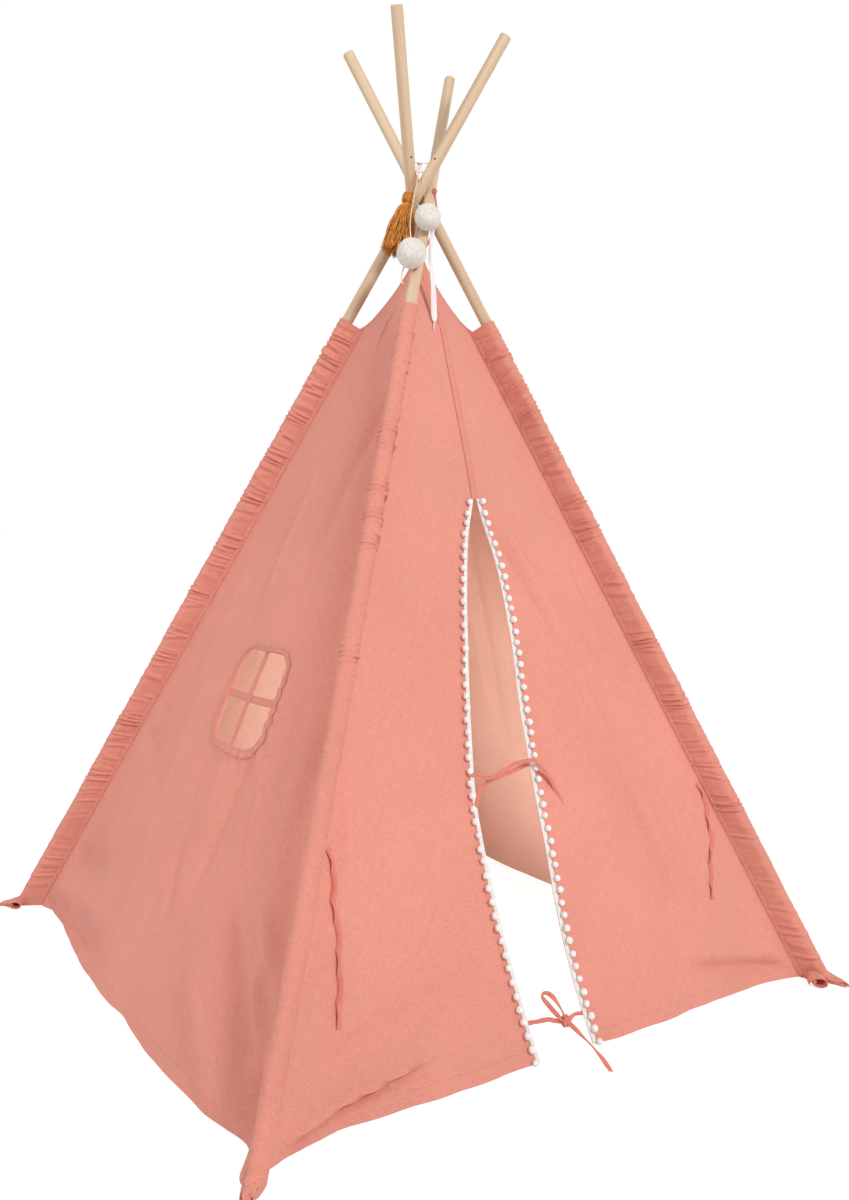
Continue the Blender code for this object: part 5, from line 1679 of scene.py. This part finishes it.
def hole_route(first, second):
    points = []
    for pole, order in ((POLES[first], 1), (POLES[second], -1)):
        way = pole.hole_direction()
        stops = [pole.hole() + way * stop for stop in (LASHING_TUCK, 0, -POLE_RADIUS, -LASHING_BEND)]
        points += stops[::order]
    return smooth_route(points, ROUTE_STEPS)


def lashing_span(share):
    start, end = POLES["back_right"], POLES["back_left"]
    low = start.hole() - start.hole_direction() * LASHING_BEND
    high = end.hole() - end.hole_direction() * LASHING_BEND
    return low.lerp(high, share)


def cord_piece(name, route, diameter, paint, body, replaced, far_end="object", lay="hanging", plies=2,
               with_pieces=()):
    obj = link_parts(name, twisted_parts([tuple(p) for p in route], diameter, plies), paint, paint, body, replaced)
    return declare_cord(obj, route, diameter, far_end, lay, with_pieces)


HITCH_STEPS = 60
HITCH_SIDES = 7


def hitch(name, centre, size, diameter, paint, body, turn):
    """A small overhand knot in a thread."""
    path = []
    for step in range(HITCH_STEPS + 1):
        t = 2 * math.pi * step / HITCH_STEPS
        spot = Vector((math.sin(t) + 2 * math.sin(2 * t), math.cos(t) - 2 * math.cos(2 * t), -math.sin(3 * t)))
        path.append(tuple(centre + Matrix.Rotation(turn, 3, "Z") @ spot * size / 6))
    return link_parts(name, [tube_part(path, diameter / 2, HITCH_SIDES)], paint, paint, body)


def build_lashing():
    for key, first, second in (("front", "back_right", "back_left"), ("rear", "front_left", "front_right")):
        cord_piece("lashing_%s_cord" % key, hole_route(first, second), LASHING_DIAMETER, "cord", "crown",
                   ("lashing_cord_" + key,), lay="taut", plies=3)


def build_lace():
    pole = POLES["front_left"]
    repaint("lace_aglet", PAINT["aglet"])
    route = smooth_route(LACE_ROUTE, ROUTE_STEPS)
    widths = np.interp(np.linspace(0, 1, len(route)), LACE_WIDTH_PLACES, LACE_WIDTHS)
    ribbon("hanging_lace", route, "front_left_leg", "lashing_lace", "lace", "cord", widths,
           (pole.out + pole.side * 0.4).normalized(), thickness=0.0010, with_pieces=[NODES["lace_aglet"]],
           twist_deg=24.0, far_end="fitting")


def ball_centre(key):
    drop, turn = BALL_PLACES[key]
    return POLES["front_left"].beside(drop, turn, POLE_RADIUS + GAP + BALL_DIAMETERS[key] / 2)


FELT_LAYERS = ((1.6, 0.020), (7.0, 0.014), (22.0, 0.010))
FELT_SHARE = 0.992
FELT_SEEDS = {"upper": 3.0, "lower": 8.0}
FUZZ_COUNT = 420
FUZZ_START_SHARE = 0.985
FUZZ_RADII = [0.00010, 0.00009, 0.00005]


def felt_ball(key, body):
    """A felted ball: slightly uneven, dented, with loose fibres standing off it."""
    centre, radius = ball_centre(key), BALL_DIAMETERS[key] / 2
    pattern, faces = icosphere(6)
    ball = (rough_ball(pattern, centre, radius, FELT_SHARE, FELT_SEEDS[key], FELT_LAYERS), faces)
    link_parts("felt_wool_" + key, [ball], "felt", "felt", body, ("felt_ball_" + key,))
    random.seed("fuzz " + key)
    parts = []
    for _ in range(FUZZ_COUNT):
        way = Vector((random.gauss(0, 1), random.gauss(0, 1), random.gauss(0, 1))).normalized()
        lean = Vector((random.gauss(0, 1), random.gauss(0, 1), random.gauss(0, 1))) * 0.9
        start = centre + way * radius * FUZZ_START_SHARE
        reach = random.uniform(0.0012, 0.0030)
        curl = (way + lean * 0.6).normalized()
        path = [start, start + (way * 0.6 + curl * 0.4) * reach * 0.5, start + (way * 0.35 + curl * 0.65) * reach]
        parts.append(tube_part(path, FUZZ_RADII, 3))
    link_parts("felt_fuzz_" + key, parts, "felt", "felt", body)
    return centre, radius


def thread_start(key, diameter):
    return lashing_span(HANG_SHARES[key]) - UP * (LASHING_DIAMETER / 2 + GAP + diameter / 2)


def thread_below(centre, radius, last, way):
    """The lower ball's thread from its upper side, through the ball and out of it as a short tail."""
    turn, dip = math.radians(145), math.radians(62)
    out = Vector((math.cos(turn) * math.cos(dip), math.sin(turn) * math.cos(dip), -math.sin(dip)))
    low = centre + out * (radius + GAP)
    slack = low + (out - UP) * 0.007
    places = [last, centre + way * radius * 0.3, centre + out * radius * 0.5, low, slack, slack - UP * 0.010,
              low - UP * 0.028]
    return smooth_route(places, TAIL_STEPS)[1:]


def build_balls():
    for key, diameter in (("upper", THIN_THREAD_DIAMETER), ("lower", THREAD_DIAMETER)):
        body = "ball_" + key
        centre, radius = felt_ball(key, body)
        start = thread_start(key, diameter)
        places = [start] + [Vector(p) for p in BALL_THREAD_ROUTES[key]]
        way = (places[-1] - centre).normalized()
        places.append(centre + way * (radius + GAP))
        route = smooth_route(places, THREAD_STEPS)
        loop = hitch("thread_loop_" + key, start, 0.0042, diameter * 0.6, "thread", body, 0.4)
        replaced, plies, far_end = ("ball_thread_" + key,), 2, "object"
        if key == "lower":
            route += thread_below(centre, radius, places[-1], way)
            replaced, plies, far_end = replaced + ("ball_thread_tail",), 3, "bare"
        cord_piece("thread_" + key, route, diameter, "thread", body, replaced, far_end=far_end, plies=plies,
                   with_pieces=[loop])


def away_from_poles(point, clearance):
    """Moves a point out of the poles that it would enter."""
    for pole in POLES.values():
        near = pole.foot + pole.direction * (point - pole.foot).dot(pole.direction)
        away = point - near
        if away.length < POLE_RADIUS + clearance:
            point = near + away.normalized() * (POLE_RADIUS + clearance)
    return point


def away_from_balls(point, clearance):
    for key, diameter in BALL_DIAMETERS.items():
        centre = ball_centre(key)
        away = point - centre
        if away.length < diameter / 2 + clearance:
            point = centre + away.normalized() * (diameter / 2 + clearance)
    return point


KNOB_HALF = 0.0120
KNOB_STRANDS = 46
KNOB_RADIUS = 0.0078
KNOB_CORE = 0.0076
NECK_TURNS = 6
SKIRT_STRANDS = 420
SKIRT_REACH = 0.0285
SKIRT_LENGTH = 0.0890
SKIRT_NECK = 0.0050
SKIRT_RADII = [0.00062] * 9 + [0.00045]


def build_knob(head, turn):
    """The tassel's head: strands over a core, and the turns of yarn round its neck."""
    parts = []
    for number in range(KNOB_STRANDS):
        angle = 2 * math.pi * number / KNOB_STRANDS + random.uniform(-0.03, 0.03)
        path = []
        for share in np.linspace(0, 1, 12):
            level = KNOB_HALF * (1 - 2 * share)
            bulge = math.sqrt(max(0.0, 1 - (abs(level) / KNOB_HALF) ** 2.6))
            radius = KNOB_RADIUS * bulge + 0.0012 + 0.0024 * share
            swirl = angle + 0.25 * share
            path.append(tuple(head + turn @ Vector((radius * math.cos(swirl), radius * math.sin(swirl), level))))
        parts.append(tube_part(path, 0.00058, 5))
    pattern, faces = icosphere(3)
    core = [tuple(head + turn @ Vector((x * KNOB_CORE, y * KNOB_CORE, z * KNOB_HALF * 0.96)))
            for x, y, z in pattern]
    parts.append((core, faces))
    for number in range(NECK_TURNS):
        level = -KNOB_HALF * 0.78 + number * 0.0009
        radius = 0.0058 + 0.0002 * (number % 2)
        path = [tuple(head + turn @ Vector((radius * math.cos(t), radius * math.sin(t), level + t * 0.00009)))
                for t in np.linspace(0, 2 * math.pi, 26)]
        parts.append(tube_part(path, 0.00052, 5))
    link_parts("tassel_knob", parts, "mustard", "mustard", "tassel", ("tassel_head",))


def build_skirt(neck, turn):
    parts = []
    for number in range(SKIRT_STRANDS):
        angle = random.uniform(0, 2 * math.pi)
        spread = math.sqrt(random.random())
        length = SKIRT_LENGTH + random.uniform(-0.0040, 0.0020)
        bend = random.uniform(0.38, 0.66)
        wave = random.uniform(-0.0032, 0.0032)
        inner, outer = SKIRT_NECK * spread, SKIRT_REACH * spread
        path = []
        for share in np.linspace(0, 1, len(SKIRT_RADII)):
            radius = inner + (outer - inner) * share ** bend
            swirl = angle + 0.20 * math.sin(share * 4 + number)
            spot = Vector((radius * math.cos(swirl) + wave * math.sin(share * 9),
                           radius * math.sin(swirl), -length * share))
            point = away_from_poles(neck + turn @ spot, 0.0010 + 0.0006 * spread)
            path.append(tuple(away_from_balls(point, 0.0012)))
        parts.append(tube_part(path, SKIRT_RADII, 4))
    link_parts("tassel_strands", parts, "mustard", "mustard", "tassel", ("tassel_skirt",))


def build_tassel():
    pole = POLES["back_left"]
    head = pole.beside(0.0200, 70.0, POLE_RADIUS + GAP + 0.0080)
    foot = pole.beside(0.1130, 128.0, POLE_RADIUS + 0.0260 + 0.0100)
    up = (head - foot).normalized()
    turn = up.to_track_quat("Z", "Y").to_matrix()
    random.seed("tassel")
    build_knob(head, turn)
    build_skirt(head - up * (KNOB_HALF * 0.86), turn)
    start = thread_start("tassel", THIN_THREAD_DIAMETER)
    end = head + up * KNOB_HALF
    middle = Vector(TASSEL_CORD_PLACE)
    route = smooth_route([start, middle, end + (middle - end).normalized() * GAP], TASSEL_STEPS)
    loop = hitch("tassel_loop", start, 0.0040, 0.0009, "mustard", "tassel", 1.1)
    cord_piece("tassel_thread", route, THIN_THREAD_DIAMETER, "mustard", "tassel", ("tassel_cord",),
               with_pieces=[loop])


def build_apex():
    pole = POLES["front_left"]
    route = smooth_route(APEX_TIE_ROUTE, ROUTE_STEPS)
    knot = lump("apex_knot", route[0], (0.0080, 0.0075, 0.0100), "cover", "crown", 5.0)
    ribbon("apex_ribbon", route, "crown", "apex_tie", "ribbon", "cover", 0.0045,
           (pole.out + pole.side).normalized(), far_end="object", lay="taut", twist_deg=14.0, with_pieces=[knot],
           cup=0.0002)


# Stage

FLOOR_SIZE = 60.0
WORLD_STRENGTH = 0.49
LAMPS = (
    ("key", (0.1, -3.8, 2.9), (0.0, -0.2, 0.6), (0.8, 0.8), 106.0),
    ("rear", (2.7, 1.7, 2.6), (0.0, 0.0, 0.5), (1.4, 1.4), 30.0),
    ("fill", (-3.4, 0.4, 2.4), (0.0, 0.0, 0.5), (1.4, 1.4), 45.0),
)
INSIDE_LAMPS = (("inside_low", (0.00, -0.04, 0.11), 3.2), ("inside_high", (-0.06, -0.02, 0.42), 1.7))
INSIDE_LAMP_RADIUS = 0.12


def build_floor():
    mesh = bpy.data.meshes.new("floor")
    corners = ((-1, -1), (1, -1), (1, 1), (-1, 1))
    mesh.from_pydata([(x * FLOOR_SIZE, y * FLOOR_SIZE, 0) for x, y in corners], [], [(0, 1, 2, 3)])
    floor = bpy.data.objects.new("floor", mesh)
    bpy.context.collection.objects.link(floor)
    mesh.materials.append(floor_material())


def build_world():
    """Soft light from all round, behind which the camera and mirrors see plain white."""
    world = bpy.data.worlds.new("studio")
    bpy.context.scene.world = world
    world.use_nodes = True
    tree = world.node_tree

    def fed_node(kind, *sources):
        node = tree.nodes.new("ShaderNode" + kind)
        for source, socket in zip(sources, node.inputs):
            tree.links.new(source, socket)
        return node

    soft, white = tree.nodes["Background"], fed_node("Background")
    for background, strength in ((soft, WORLD_STRENGTH), (white, 1.0)):
        background.inputs["Color"].default_value = (1, 1, 1, 1)
        background.inputs["Strength"].default_value = strength
    ray = fed_node("LightPath").outputs
    mirrored = fed_node("Math", ray["Is Glossy Ray"], ray["Is Transmission Ray"])
    seen = fed_node("Math", ray["Is Camera Ray"], mirrored.outputs["Value"])
    mirrored.operation = seen.operation = "MAXIMUM"
    mix = fed_node("MixShader", seen.outputs["Value"], soft.outputs["Background"], white.outputs["Background"])
    tree.links.new(mix.outputs["Shader"], tree.nodes["World Output"].inputs["Surface"])


def add_lamp(name, kind, place, power):
    lamp = bpy.data.objects.new(name, bpy.data.lights.new(name, kind))
    bpy.context.collection.objects.link(lamp)
    lamp.data.energy = power
    lamp.location = place
    return lamp


def build_lamps():
    for name, place, target, size, power in LAMPS:
        lamp = add_lamp(name, "AREA", place, power)
        lamp.data.shape = "RECTANGLE"
        lamp.data.size, lamp.data.size_y = size
        lamp.rotation_mode = "QUATERNION"
        lamp.rotation_quaternion = (Vector(target) - Vector(place)).to_track_quat("-Z", "Y")
    for name, place, power in INSIDE_LAMPS:
        lamp = add_lamp(name, "POINT", place, power)
        lamp.data.shadow_soft_size = INSIDE_LAMP_RADIUS
        lamp.visible_camera = False


def paint_poles():
    for seed, corner in enumerate(CORNERS):
        material = wood("pine_" + corner, POLES[corner].direction, seed + 1)
        for part in ("pole_lower_", "pole_upper_"):
            repaint(part + corner, material)
        repaint("ferrule_" + corner, PAINT["steel"])


bpy.context.scene.view_settings.view_transform = "Standard"
build_camera()
build_lace()
build_balls()
build_tassel()
build_lashing()
build_apex()
build_ties()
build_side("window", "window_panel", "back_left")
build_side("right", "right_panel", "back_right")
build_side("back", "back_panel", "back_right")
build_front_half(-1, "front_panel_left", "front_left")
build_front_half(1, "front_panel_right", "front_right")
build_flap(-1, "left", "front_left")
build_flap(1, "right", "front_right")
build_placket()
for corner in CORNERS:
    build_sleeve(corner)
build_trim(-1, "left", "front_left")
build_trim(1, "right", "front_right")
paint_poles()
build_floor()
build_world()
build_lamps()
